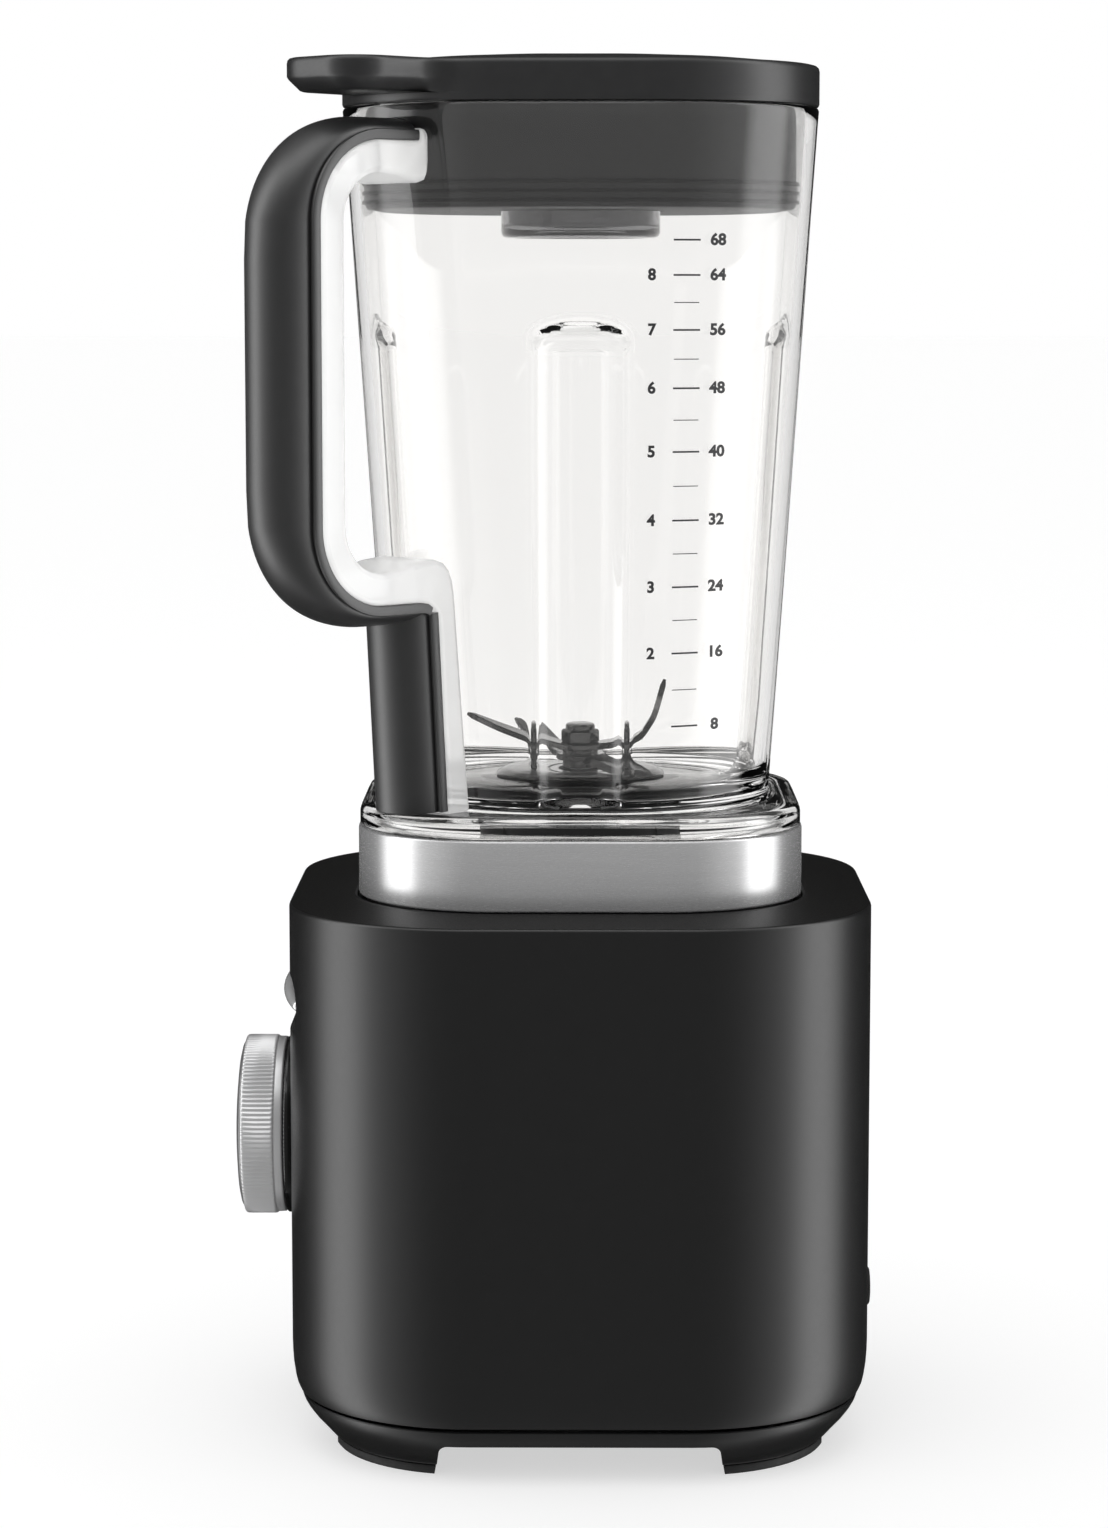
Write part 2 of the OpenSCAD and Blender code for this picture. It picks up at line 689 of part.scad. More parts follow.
module shaft_seal() color(rubber) ring(blade_shaft_radius + 0.05, 8, jar_floor_z + 2.3, 1.7);

// ---------------------------------------------------------------- blades

module blade_hub(z) {
  ring(blade_shaft_radius, 9, z, blade_thick);
}

// One arm: it starts inside the hub, leans by tilt degrees and narrows to a swept tip
module blade_arm(z, turn, tilt, length) {
  rotate([0, 0, turn]) translate([7.5, 0, z]) rotate([0, -tilt, 0]) linear_extrude(blade_thick)
    polygon([[-0.6, -5.6], [length * 0.55, -5.2], [length, -1.5], [length, 0.5], [length * 0.5, 4], [-0.6, 5.6]]);
}

module blade_upper() color(steel) {
  blade_hub(blade_high_z);
  blade_arm(blade_high_z, 176, 17, 28);
  blade_arm(blade_high_z, -8, 8, 12);
  rotate([0, 0, -8]) translate([18.6, 0, blade_high_z + 1.2]) rotate([0, -66, 0])
    linear_extrude(blade_thick) polygon([[-0.8, -5.3], [12, -3.6], [22, 0], [14, 3.4], [-0.8, 4.4]]);
}

module blade_lower() color(steel) {
  blade_hub(blade_low_z);
  blade_arm(blade_low_z, -52, -7, 26);
  blade_arm(blade_low_z, 128, 16, 26);
}

module blade_spacers() color(steel) {
  ring(blade_shaft_radius, 6.5, jar_floor_z + 4.6, blade_low_z - jar_floor_z - 4.6);
  ring(blade_shaft_radius, 6.5, blade_low_z + blade_thick, blade_high_z - blade_low_z - blade_thick);
}

module blade_nut() color(steel) difference() {
  union() {
    translate([0, 0, blade_high_z + blade_thick]) cylinder(r = 7, h = 4, $fn = 6);
    translate([0, 0, blade_high_z + blade_thick + 3.9]) cylinder(r = 5.4, h = 2);
  }
  translate([0, 0, blade_high_z]) cylinder(r = blade_shaft_radius, h = 6.4);
}

module blade_shaft() color(steel)
  translate([0, 0, coupler_high + 2]) cylinder(r = blade_shaft_radius, h = blade_high_z + 6 - coupler_high - 2);

module jar_coupler() color(charcoal) difference() {
  union() {
    translate([0, 0, coupler_low + 2.5]) cylinder(r = 17, h = coupler_high - coupler_low);
    translate([0, 0, coupler_high]) cylinder(r = 8, h = 5.6);
  }
  translate([0, 0, coupler_low]) linear_extrude(coupler_high - coupler_low + 1) polygon(coupler_star(0.5));
  translate([0, 0, coupler_high + 2]) cylinder(r = blade_shaft_radius, h = 10);
}

// ---------------------------------------------------------------- lid

module tab_outline() {
  tab_half = 17.5;
  tab_round = 12;
  waist = 12;
  corner_x = (lid_half - lid_corner) * sqrt(2);
  waist_y = tab_half + waist;
  waist_x = corner_x + sqrt(pow(lid_corner + waist, 2) - waist_y * waist_y);
  meet_y = waist_y * lid_corner / (lid_corner + waist);
  translate([corner_x, -tab_half]) square([tab_reach - tab_round - corner_x, 2 * tab_half]);
  translate([corner_x, -tab_half + tab_round]) square([tab_reach - corner_x, 2 * (tab_half - tab_round)]);
  for (s = [-1, 1]) translate([tab_reach - tab_round, s * (tab_half - tab_round)]) circle(tab_round);
  difference() {
    translate([corner_x, -meet_y]) square([waist_x - corner_x, 2 * meet_y]);
    for (s = [-1, 1]) translate([waist_x, s * waist_y]) circle(waist);
  }
}

module lid_top() color(charcoal) difference() {
  union() {
    rounded_block(lid_half, lid_corner, lid_bottom, lid_top - lid_bottom);
    translate([0, 0, lid_bottom + 2.2]) linear_extrude(lid_top - lid_bottom - 2.2)
      rotate(225) tab_outline();
    hull() {
      slice(lid_half - 2.5, lid_corner - 2.5, lid_top - 0.1);
      slice(cap_disc_radius + 12, cap_disc_radius + 6, crown_z - 0.01);
    }
  }
  rounded_block(plug_half - plug_wall, plug_corner - plug_wall, lid_bottom - 1, lid_top - 4 - lid_bottom);
  translate([0, 0, lid_top - 2.2]) cylinder(r = cap_disc_radius + 0.4, h = 20);
  cylinder(r = cap_radius + 0.6, h = 500);
}

module lid_plug() color(charcoal) {
  rim = lid_bottom;
  difference() {
    union() {
      rounded_block(plug_half, plug_corner, plug_bottom + plug_round, rim - plug_bottom - plug_round);
      hull() {
        slice(plug_half - plug_round, plug_corner - plug_round, plug_bottom);
        slice(plug_half, plug_corner, plug_bottom + plug_round);
      }
    }
    difference() {
      rounded_block(plug_half - plug_wall, plug_corner - plug_wall, plug_bottom + plug_wall, 60);
      cylinder(r = cap_radius + 3, h = 500);
    }
    cylinder(r = cap_radius + 0.6, h = 500);
  }
  ring(cap_radius + 0.6, cap_radius + 3, rim - 1, lid_top - 5 - rim + 1);
}

module lid_gasket() color(rubber) difference() {
  union() {
    rounded_block(plug_half + 0.5, plug_corner + 0.5, gasket_low, 2 * rib_pitch + 1.2);
    for (i = [0 : 2]) rounded_block(plug_half + 1, plug_corner + 1, gasket_low + i * rib_pitch, 1.2);
  }
  rounded_block(plug_half, plug_corner, gasket_low - 1, 2 * rib_pitch + 4);
}

module cap_cup() color(clear) difference() {
  translate([0, 0, cup_bottom]) cylinder(r = cap_radius, h = lid_top - 1.9 - cup_bottom);
  translate([0, 0, cup_bottom + cup_wall]) cylinder(r = cap_radius - cup_wall, h = 60);
}

module cap_top() color(charcoal) translate([0, 0, lid_top - 1.9]) rotate_extrude()
  polygon(concat([[0, 0], [cap_disc_radius, 0]],
    [for (t = [0 : 15 : 90]) [cap_disc_radius - 1.5 + 1.5 * cos(t), 3.4 + 1.5 * sin(t)]],
    [[10, 5.6], [0, 5.8]]));

module cap_seal() color(rubber) ring(cap_radius, cap_radius + 0.3, 392, 3);

base_housing();
base_plate();
foot_pads();
base_screws();
collar_band();
jar_seat();
seat_pad();
cord_gland();
dial_bezel();
toggle_bezel();
toggle_bracket();
toggle_pin();
toggle_switches();
dial_encoder();
control_board();
heat_sink();
board_parts();
motor_bracket_upper();
motor_bracket_lower();
motor_bolts();
motor_bearings();
stator_core();
field_coils();
brush_holders();
carbon_brushes();
fan_shroud();
vibration_mounts();
motor_shaft();
rotor_core();
rotor_windings();
commutator();
cooling_fan();
base_coupler();
dial_knob();
dial_face();
dial_shaft();
toggle_bar();
toggle_arm();
jar();
handle_grip();
bearing_housing();
housing_gasket();
retaining_nut();
jar_bearings();
shaft_seal();
blade_shaft();
blade_upper();
blade_lower();
blade_spacers();
blade_nut();
jar_coupler();
lid_top();
lid_plug();
lid_gasket();
cap_cup();
cap_top();
cap_seal();
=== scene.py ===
import json
import math

import bmesh
import bpy
from mathutils import Matrix, Vector


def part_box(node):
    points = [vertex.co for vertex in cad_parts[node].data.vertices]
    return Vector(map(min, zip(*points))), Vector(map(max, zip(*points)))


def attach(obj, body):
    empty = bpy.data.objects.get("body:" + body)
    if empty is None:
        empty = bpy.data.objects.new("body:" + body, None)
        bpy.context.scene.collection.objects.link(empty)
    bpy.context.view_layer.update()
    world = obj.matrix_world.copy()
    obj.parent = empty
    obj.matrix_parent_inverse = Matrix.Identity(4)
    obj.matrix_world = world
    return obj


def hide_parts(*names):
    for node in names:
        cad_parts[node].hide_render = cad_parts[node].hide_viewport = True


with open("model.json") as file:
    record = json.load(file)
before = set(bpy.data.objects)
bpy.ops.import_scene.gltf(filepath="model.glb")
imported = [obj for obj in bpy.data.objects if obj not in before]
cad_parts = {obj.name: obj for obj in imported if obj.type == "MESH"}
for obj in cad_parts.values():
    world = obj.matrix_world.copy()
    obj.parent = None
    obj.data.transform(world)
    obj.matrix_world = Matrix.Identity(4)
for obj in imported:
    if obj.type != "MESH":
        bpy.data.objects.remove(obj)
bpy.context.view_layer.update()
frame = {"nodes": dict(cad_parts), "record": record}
MM = 0.001
TURN = 2 * math.pi
ARC, SIDE = 20, 4
NODES = frame["nodes"]


def low(node):
    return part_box(node)[0] / MM


def high(node):
    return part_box(node)[1] / MM


def cosd(angle):
    return math.cos(math.radians(angle))


def sind(angle):
    return math.sin(math.radians(angle))


# ------------------------------------------------------------------ materials

def material(name, color, rough, metal=0.0, spec=0.5, sheen=0.0, ior=1.5, transmission=0.0,
             grain=400.0, bump=0.02, rough_var=0.06, tone_var=0.08, stretch=(1, 1, 1)):
    """A Principled material whose tone, roughness and relief vary with a fine procedural grain."""
    m = bpy.data.materials.new(name)
    m.use_nodes = True
    nt = m.node_tree
    b = nt.nodes["Principled BSDF"]
    b.inputs["Metallic"].default_value = metal
    b.inputs["Specular IOR Level"].default_value = spec
    b.inputs["Sheen Weight"].default_value = sheen
    b.inputs["IOR"].default_value = ior
    b.inputs["Transmission Weight"].default_value = transmission
    co = nt.nodes.new("ShaderNodeTexCoord")
    mp = nt.nodes.new("ShaderNodeMapping")
    mp.inputs["Scale"].default_value = stretch
    nt.links.new(co.outputs["Object"], mp.inputs["Vector"])
    fine = nt.nodes.new("ShaderNodeTexNoise")
    fine.inputs["Scale"].default_value = grain
    fine.inputs["Detail"].default_value = 3.0
    broad = nt.nodes.new("ShaderNodeTexNoise")
    broad.inputs["Scale"].default_value = grain / 12
    nt.links.new(mp.outputs["Vector"], fine.inputs["Vector"])
    nt.links.new(mp.outputs["Vector"], broad.inputs["Vector"])
    ramp = nt.nodes.new("ShaderNodeValToRGB")
    ramp.color_ramp.elements[0].position = 0.3
    ramp.color_ramp.elements[1].position = 0.7
    ramp.color_ramp.elements[0].color = [c * (1 - tone_var) for c in color[:3]] + [1]
    ramp.color_ramp.elements[1].color = [min(1, c * (1 + tone_var)) for c in color[:3]] + [1]
    nt.links.new(broad.outputs["Fac"], ramp.inputs["Fac"])
    nt.links.new(ramp.outputs["Color"], b.inputs["Base Color"])
    span = nt.nodes.new("ShaderNodeMapRange")
    span.inputs["From Min"].default_value = 0.3
    span.inputs["From Max"].default_value = 0.7
    span.inputs["To Min"].default_value = max(0.0, rough - rough_var)
    span.inputs["To Max"].default_value = min(1.0, rough + rough_var)
    nt.links.new(fine.outputs["Fac"], span.inputs["Value"])
    nt.links.new(span.outputs["Result"], b.inputs["Roughness"])
    if bump:
        bp = nt.nodes.new("ShaderNodeBump")
        bp.inputs["Strength"].default_value = bump
        bp.inputs["Distance"].default_value = 0.0004
        nt.links.new(fine.outputs["Fac"], bp.inputs["Height"])
        nt.links.new(bp.outputs["Normal"], b.inputs["Normal"])
    return m


MAT = {
    "housing": material("housing_plastic", (0.003, 0.003, 0.0031), 0.36, spec=0.66, grain=2600, bump=0.006),
    # Painted light: a copy of the housing plastic for the top faces, painted lighter and warmer for the light
    # that falls on the top, with a rougher, less glossy finish.
    "housing_top": material("housing_top_painted_light_plastic", (0.006, 0.0058, 0.0056), 0.5, spec=0.22, grain=2600,
                            bump=0.01),
    "charcoal": material("charcoal_plastic", (0.014, 0.014, 0.0145), 0.45, spec=0.35, grain=2400, bump=0.04),
    "gloss": material("gloss_black_plastic", (0.006, 0.006, 0.006), 0.12, grain=500, bump=0.01),
    "rubber": material("black_rubber", (0.01, 0.01, 0.01), 0.62, spec=0.3, grain=700, bump=0.12),
    "collar": material("satin_collar_metal", (0.62, 0.62, 0.625), 0.26, metal=0.6, grain=500, bump=0.01,
                       rough_var=0.02, tone_var=0.02, stretch=(1, 1, 30)),
    "dial": material("spun_dial_metal", (0.72, 0.72, 0.725), 0.34, metal=0.62, grain=700, bump=0.008,
                     rough_var=0.02, tone_var=0.02),
    "dial_face": material("brushed_dial_face", (0.24, 0.24, 0.243), 0.4, metal=0.6, grain=500, bump=0.01,
                          rough_var=0.03, tone_var=0.03),
    "chrome": material("satin_chrome", (0.86, 0.86, 0.865), 0.16, metal=0.45, grain=300, bump=0.01,
                       rough_var=0.03),
    "clear": material("clear_jar", (0.985, 0.98, 0.972), 0.0, ior=1.49, transmission=1.0, grain=30,
                      bump=0.01, rough_var=0.0, tone_var=0.004),
    # The handle core is frosted white, and further down it is also given painted light: a faint emission that
    # makes it read brighter.
    "core": material("frosted_handle_core_painted_light", (0.97, 0.97, 0.967), 0.24, ior=1.15, transmission=0.6, grain=60,
                     bump=0.0, rough_var=0.02, tone_var=0.01),
    "grip": material("soft_touch_grip", (0.011, 0.011, 0.0113), 0.43, spec=1.0, sheen=0.02, grain=3000,
                     bump=0.02),
    "lid": material("satin_lid_plastic", (0.016, 0.016, 0.0165), 0.36, spec=0.6, grain=2600, bump=0.004),
    "plug": material("lid_plug_plastic", (0.02, 0.02, 0.0205), 0.5, spec=0.25, grain=300, bump=0.0,
                     tone_var=0.03),
    "seal": material("black_seal_rubber", (0.002, 0.002, 0.002), 0.6, spec=0.08, grain=700, bump=0.0),
    "smoke": material("smoky_cap", (0.2, 0.2, 0.205), 0.0, ior=1.49, transmission=1.0, grain=30,
                      bump=0.0, rough_var=0.0, tone_var=0.01),
    # Painted shade: the blade steel is near black (0.065), standing in for the dark surroundings it reflects
    # inside the jar; the blade mount and the cap nut take it too.
    "blade": material("polished_blade_steel_painted_dark", (0.065, 0.064, 0.063), 0.12, metal=1.0, grain=260, bump=0.02,
                      rough_var=0.05, tone_var=0.06, stretch=(1, 12, 1)),
    "steel": material("plain_steel", (0.5, 0.51, 0.52), 0.34, metal=1.0, grain=300, bump=0.03),
    "iron": material("laminated_steel", (0.25, 0.25, 0.26), 0.48, metal=1.0, grain=250, bump=0.2,
                     stretch=(1, 1, 30)),
    "cast": material("cast_aluminium", (0.58, 0.58, 0.59), 0.5, metal=1.0, grain=350, bump=0.25),
    "copper": material("lacquered_copper", (0.62, 0.26, 0.1), 0.3, metal=1.0, grain=420, bump=0.3,
                       stretch=(1, 1, 25)),
    "brass": material("plain_brass", (0.65, 0.46, 0.18), 0.3, metal=1.0, grain=300, bump=0.04),
    "carbon": material("sintered_carbon", (0.02, 0.02, 0.02), 0.6, grain=800, bump=0.2),
    "board": material("green_solder_mask", (0.02, 0.13, 0.05), 0.3, grain=350, bump=0.05, tone_var=0.2),
    "sleeve": material("blue_sleeve", (0.03, 0.06, 0.2), 0.3, grain=200, bump=0.02),
    "print": material("printed_ink", (0.03, 0.03, 0.032), 0.5, grain=600, bump=0.0),
    "tick": material("white_printed_ink", (0.6, 0.6, 0.6), 0.5, grain=600, bump=0.0),
}
SLOT_LOOK = {"housing_black": "housing", "charcoal_plastic": "charcoal", "gloss_black": "gloss",
             "rubber_black": "rubber", "collar_metal": "collar", "dial_metal": "dial",
             "toggle_chrome": "chrome", "jar_clear": "clear", "grip_soft": "grip", "lid_charcoal": "lid",
             "blade_steel": "blade", "steel_plain": "steel", "motor_steel": "iron", "cast_aluminium": "cast",
             "copper_wire": "copper", "brass_plain": "brass", "carbon": "carbon", "board_green": "board",
             "board_parts_blue": "sleeve", "coupler_black": "charcoal", "cap_smoke": "smoke"}
NODE_SLOT = {s["node"]: s["material_slot"] for s in frame["record"]["subparts"]}
for node_name, node in NODES.items():
    node.data.materials.clear()
    node.data.materials.append(MAT[SLOT_LOOK[NODE_SLOT[node_name]]])


# ------------------------------------------------------------------ mesh tools

def smooth(mesh, sharp=35):
    """Smooth faces, split at edges sharper than the angle."""
    mesh.polygons.foreach_set("use_smooth", [True] * len(mesh.polygons))
    mesh.set_sharp_from_angle(angle=math.radians(sharp))


def build(name, verts, faces, mat, body, slot, replaces=(), sharp=35, recalc=True):
    """Makes a piece from millimetre vertices and rides it on its body. The slot argument is not used."""
    mesh = bpy.data.meshes.new(name)
    mesh.from_pydata([[c * MM for c in v] for v in verts], [], faces)
    bm = bmesh.new()
    bm.from_mesh(mesh)
    bmesh.ops.remove_doubles(bm, verts=bm.verts, dist=1e-7)
    if recalc:
        bmesh.ops.recalc_face_normals(bm, faces=bm.faces)
    bm.to_mesh(mesh)
    bm.free()
    for look in (mat if isinstance(mat, list) else [mat]):
        mesh.materials.append(MAT[look])
    smooth(mesh, sharp)
    obj = bpy.data.objects.new(name, mesh)
    bpy.context.scene.collection.objects.link(obj)
    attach(obj, body)
    if replaces:
        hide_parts(*replaces)
    return obj


def loft(rings, loop=False):
    """Joins rings of equal count with quads; open ends get one face each."""
    n, rows = len(rings[0]), len(rings)
    verts = [p for ring in rings for p in ring]
    faces = []
    for i in range(rows if loop else rows - 1):
        a, b = i * n, ((i + 1) % rows) * n
        for k in range(n):
            k2 = (k + 1) % n
            faces.append((a + k, a + k2, b + k2, b + k))
    if not loop:
        faces.append(tuple(range(n - 1, -1, -1)))
        faces.append(tuple((rows - 1) * n + k for k in range(n)))
    return verts, faces


def square(half, corner, z, arc=ARC, side=SIDE):
    """A rounded square, counted the same way for any size."""
    c = half - corner
    pts = []
    for q, (sx, sy) in enumerate(((1, 1), (-1, 1), (-1, -1), (1, -1))):
        for i in range(arc + 1):
            a = 90 * (q + i / arc)
            pts.append((sx * c + corner * cosd(a), sy * c + corner * sind(a), z))
        nx, ny = ((-1, 1), (-1, -1), (1, -1), (1, 1))[q]
        a = 90 * (q + 1)
        end = (nx * c + corner * cosd(a), ny * c + corner * sind(a))
        last = pts[-1]
        for i in range(1, side + 1):
            t = i / (side + 1)
            pts.append((last[0] + (end[0] - last[0]) * t, last[1] + (end[1] - last[1]) * t, z))
    return pts


def squares(profile, arc=ARC, side=SIDE):
    """One ring per (half, corner, z)."""
    return [square(h, c, z, arc, side) for h, c, z in profile]


def square_shell(profile, arc=ARC, side=SIDE):
    """A closed shell from a profile that runs up the outside and down the inside."""
    return loft(squares(profile, arc, side), loop=True)


def lathe(profile, n=96, about=None):
    """Revolves (radius, height) round Z, or round an axis placed by a matrix. Radius 0 closes the end."""
    verts, faces, rows = [], [], []
    for r, h in profile:
        if r < 1e-6:
            rows.append([len(verts)])
            verts.append((0, 0, h))
        else:
            rows.append(list(range(len(verts), len(verts) + n)))
            verts += [(r * math.cos(TURN * k / n), r * math.sin(TURN * k / n), h) for k in range(n)]
    for a, b in zip(rows, rows[1:]):
        for k in range(n):
            k2 = (k + 1) % n
            if len(a) == 1:
                faces.append((a[0], b[k2], b[k]))
            elif len(b) == 1:
                faces.append((a[k], a[k2], b[0]))
            else:
                faces.append((a[k], a[k2], b[k2], b[k]))
    if len(rows[0]) > 1 and len(rows[-1]) > 1:
        a, b = rows[-1], rows[0]
        faces += [(a[k], a[(k + 1) % n], b[(k + 1) % n], b[k]) for k in range(n)]
    if about is not None:
        verts = [tuple(about @ Vector(v)) for v in verts]
    return verts, faces


def arc_points(cx, cy, r, a0, a1, n):
    return [(cx + r * cosd(a0 + (a1 - a0) * i / n),
             cy + r * sind(a0 + (a1 - a0) * i / n)) for i in range(n + 1)]


def join(*parts):
    verts, faces = [], []
    for v, f in parts:
        base = len(verts)
        verts += v
        faces += [tuple(i + base for i in face) for face in f]
    return verts, faces


def cut_away(obj, verts, faces):
    """Cuts a closed shape out of an object, and keeps the result as the object's mesh."""
    mesh = bpy.data.meshes.new("tool")
    mesh.from_pydata([[c * MM for c in v] for v in verts], [], faces)
    bm = bmesh.new()
    bm.from_mesh(mesh)
    bmesh.ops.recalc_face_normals(bm, faces=bm.faces)
    bm.to_mesh(mesh)
    bm.free()
    tool = bpy.data.objects.new("tool", mesh)
    bpy.context.scene.collection.objects.link(tool)
    mod = obj.modifiers.new("bool", "BOOLEAN")
    mod.operation = "DIFFERENCE"
    mod.solver = "EXACT"
    mod.object = tool
    bpy.context.view_layer.update()
    made = bpy.data.meshes.new_from_object(obj.evaluated_get(bpy.context.evaluated_depsgraph_get()))
    obj.modifiers.clear()
    obj.data = made
    bpy.data.objects.remove(tool)


FRONT = Matrix(((0, 0, -1, 0), (0, -1, 0, 0), (-1, 0, 0, 0), (0, 0, 0, 1)))


def front_axis(x, z):
    """Carries a shape drawn round Z so that its height points out of the front, from a given place."""
    return Matrix.Translation((x, 0, z)) @ FRONT


# ------------------------------------------------------------------ base

box_low, box_high = low("base_housing"), high("base_housing")
HOUSE = box_high.x
SKIN_LOW = box_low.z
DECK = box_high.z
HOUSE_TOP = DECK - 1.5
COLLAR = high("collar_band").x
SEAT_Z = high("collar_band").z
CORNER = 54.0
COLLAR_R = 41.0
INNER = HOUSE - 3
EDGE = 1.1

profile = [(HOUSE - inward, CORNER - inward, SKIN_LOW + up) for inward, up in
           ((2.6, 0), (2.0, 0.3), (1.4, 1.6), (0.8, 4), (0.35, 7), (0.1, 10.5), (0, 14))]
profile += [(HOUSE, CORNER, z) for z in (40, 70, 100, 130, HOUSE_TOP - 5, HOUSE_TOP - 1.6)]
for a in range(0, 91, 10):
    cut = EDGE * (1 - cosd(a))
    profile.append((HOUSE - cut, CORNER - cut, HOUSE_TOP - EDGE + EDGE * sind(a)))
for t in (0.05, 0.2, 0.4, 0.6, 0.8, 0.93):
    profile.append((HOUSE - EDGE + (COLLAR + 1.6 - HOUSE + EDGE) * t,
                    CORNER - EDGE + (COLLAR_R + 1.6 - CORNER + EDGE) * t,
                    HOUSE_TOP + (DECK - HOUSE_TOP - 0.2) * t))
profile += [(COLLAR + 1.2, COLLAR_R + 1.2, DECK - 0.15), (COLLAR + 0.5, COLLAR_R + 0.5, DECK - 0.5),
            (COLLAR + 0.2, COLLAR_R + 0.2, DECK - 1.4), (COLLAR - 1.8, COLLAR_R - 1.8, DECK - 1.6),
            (COLLAR - 2.1, COLLAR_R - 2.1, DECK - 6.3), (INNER, CORNER - 3, DECK - 6.4),
            (INNER, CORNER - 3, SKIN_LOW)]
housing = build("housing_shell", *square_shell(profile), "housing", "base", "housing_black",
                ["base_housing"])
toggle_z = (low("toggle_bezel").z + high("toggle_bezel").z) / 2
pocket_y = high("toggle_bezel").y


def stadium(half_y, half_z, steps=12):
    """Outline of a pocket on the front: (local x, local y) for front_axis, with round ends."""
    c = half_y - half_z
    turns = [180 * i / steps for i in range(steps + 1)]
    return ([(half_z * cosd(a), c + half_z * sind(a)) for a in turns]
            + [(half_z * cosd(180 + a), -c + half_z * sind(180 + a)) for a in turns])


def stadium_loft(rows, x, z, loop=False):
    """rows of (half_y, half_z, height outward) turned to face the front."""
    m = front_axis(x, z)
    rings = [[tuple(m @ Vector((px, py, h))) for px, py in stadium(hy, hz)] for hy, hz, h in rows]
    return loft(rings, loop=loop)


pz = (high("toggle_bezel").z - low("toggle_bezel").z) / 2
cutter = [(pocket_y + 0.1, pz + 0.1, height) for height in (0, 20)]
cut_away(housing, *stadium_loft(cutter, -75, toggle_z))
smooth(housing.data)
# The upward faces of the top take the lighter, warmer copy of the plastic: painted light on the top.
housing.data.materials.append(MAT["housing_top"])
for poly in housing.data.polygons:
    if poly.normal.z > 0.9 and poly.center.z > (HOUSE_TOP - 1) * MM:
        poly.material_index = 1
bz = high("toggle_bezel").x
bx = low("toggle_bezel").x
deep = bz - bx
verts, faces = stadium_loft(
    [(pocket_y, pz, 0), (pocket_y, pz, deep - 0.4), (pocket_y - 0.4, pz - 0.4, deep),
     (pocket_y - 1.0, pz - 1.0, deep - 0.1), (pocket_y - 1.6, pz - 1.6, deep - 1.4),
     (pocket_y - 2.4, pz - 2.4, 1.6), (pocket_y - 3, pz - 3, 1.2), (9, 5.2, 1.2), (9, 5.2, 0)],
    bz, toggle_z, loop=True)
RECESS = HOUSE + bx
front_flat = HOUSE - CORNER


def behind_corner(x, y, z):
    """Moves a point of the rim back to follow the housing where its front turns to the corner."""
    if x > bz - deep + 1.5 or abs(y) <= front_flat:
        return x, y, z
    r = CORNER - RECESS
    return x + r - math.sqrt(r * r - (abs(y) - front_flat) ** 2), y, z


build("toggle_pocket", [behind_corner(*v) for v in verts], faces, "gloss", "base", "gloss_black",
      ["toggle_bezel"])

sole = high("foot_pads").x
SEAM = SKIN_LOW - 0.4
SOLE_R = 40.0
ARCH_HALF, ARCH_TOP = 41, 10.4
profile = [(HOUSE - inward, CORNER - inward * 1.15, SEAM - down) for inward, down in
           ((3.2, 0.5), (2.8, 0.9), (3.3, 2.4), (4.5, 4.4), (6.4, 6.8), (8.9, 9.4), (11.2, 11.9))]
profile += [(sole + 0.4, SOLE_R + 0.6, SEAM - 12.7), (sole + 0.2, SOLE_R + 0.2, 3.0),
           (sole - 2, SOLE_R - 2, 2.9), (sole - 16, 36, 2.6), (sole - 16.2, 36, 10.5), (30, 10, 10.6),
           (29.9, 10, 12.4), (INNER - 4, CORNER - 7, 12.5), (INNER - 4, CORNER - 7, SEAM - 0.6)]
plate = build("base_skirt", *square_shell(profile), "housing", "base", "housing_black", ["base_plate"])


def arch_bar(half, top, length):
    """A tunnel under the base with splayed sides and rounded shoulders."""
    side = [(-half - 0.8, -2), (-half, 2.2)] + arc_points(-half + 3.4, top - 2.6, 2.6, 170, 90, 5)
    outline = side + [(-x, y) for x, y in reversed(side)]
    rings = [[(s, x, y) for x, y in outline] for s in (-length, length)]
    return loft(rings)


def cut_arches(obj, half):
    """Cuts a tunnel through the base from side to side and another from front to rear."""
    verts, faces = arch_bar(half, ARCH_TOP, 120)
    turned = Matrix.Rotation(math.pi / 2, 4, "Z")
    cut_away(obj, verts, faces)
    cut_away(obj, [tuple(turned @ Vector(v)) for v in verts], faces)
    smooth(obj.data, 40)


cut_arches(plate, ARCH_HALF)
profile = [(sole - 0.2, SOLE_R - 0.2, 2.5), (sole, SOLE_R, 2.2), (sole, SOLE_R, 0.6),
           (sole - 0.5, SOLE_R - 0.5, 0), (sole - 9, SOLE_R - 2, 0), (sole - 15.6, 36.4, 0),
           (sole - 16, 36, 0.5), (sole - 16, 36, 2.5)]
pads = build("sole_pads", *square_shell(profile), "rubber", "base", "rubber_black", ["foot_pads"])
cut_arches(pads, ARCH_HALF + 0.2)

cl = low("collar_band").z
profile = [(COLLAR - d, COLLAR_R - d, z) for d, z in (
    (0.5, cl), (0.1, cl + 0.25), (0, cl + 0.7), (0, 170), (0, SEAT_Z - 0.8), (0.15, SEAT_Z - 0.3),
    (0.6, SEAT_Z), (1.6, SEAT_Z), (2, SEAT_Z - 0.4), (2, cl))]
build("collar", *square_shell(profile, 24, 6), "collar", "base", "collar_metal", ["collar_band"], sharp=50)

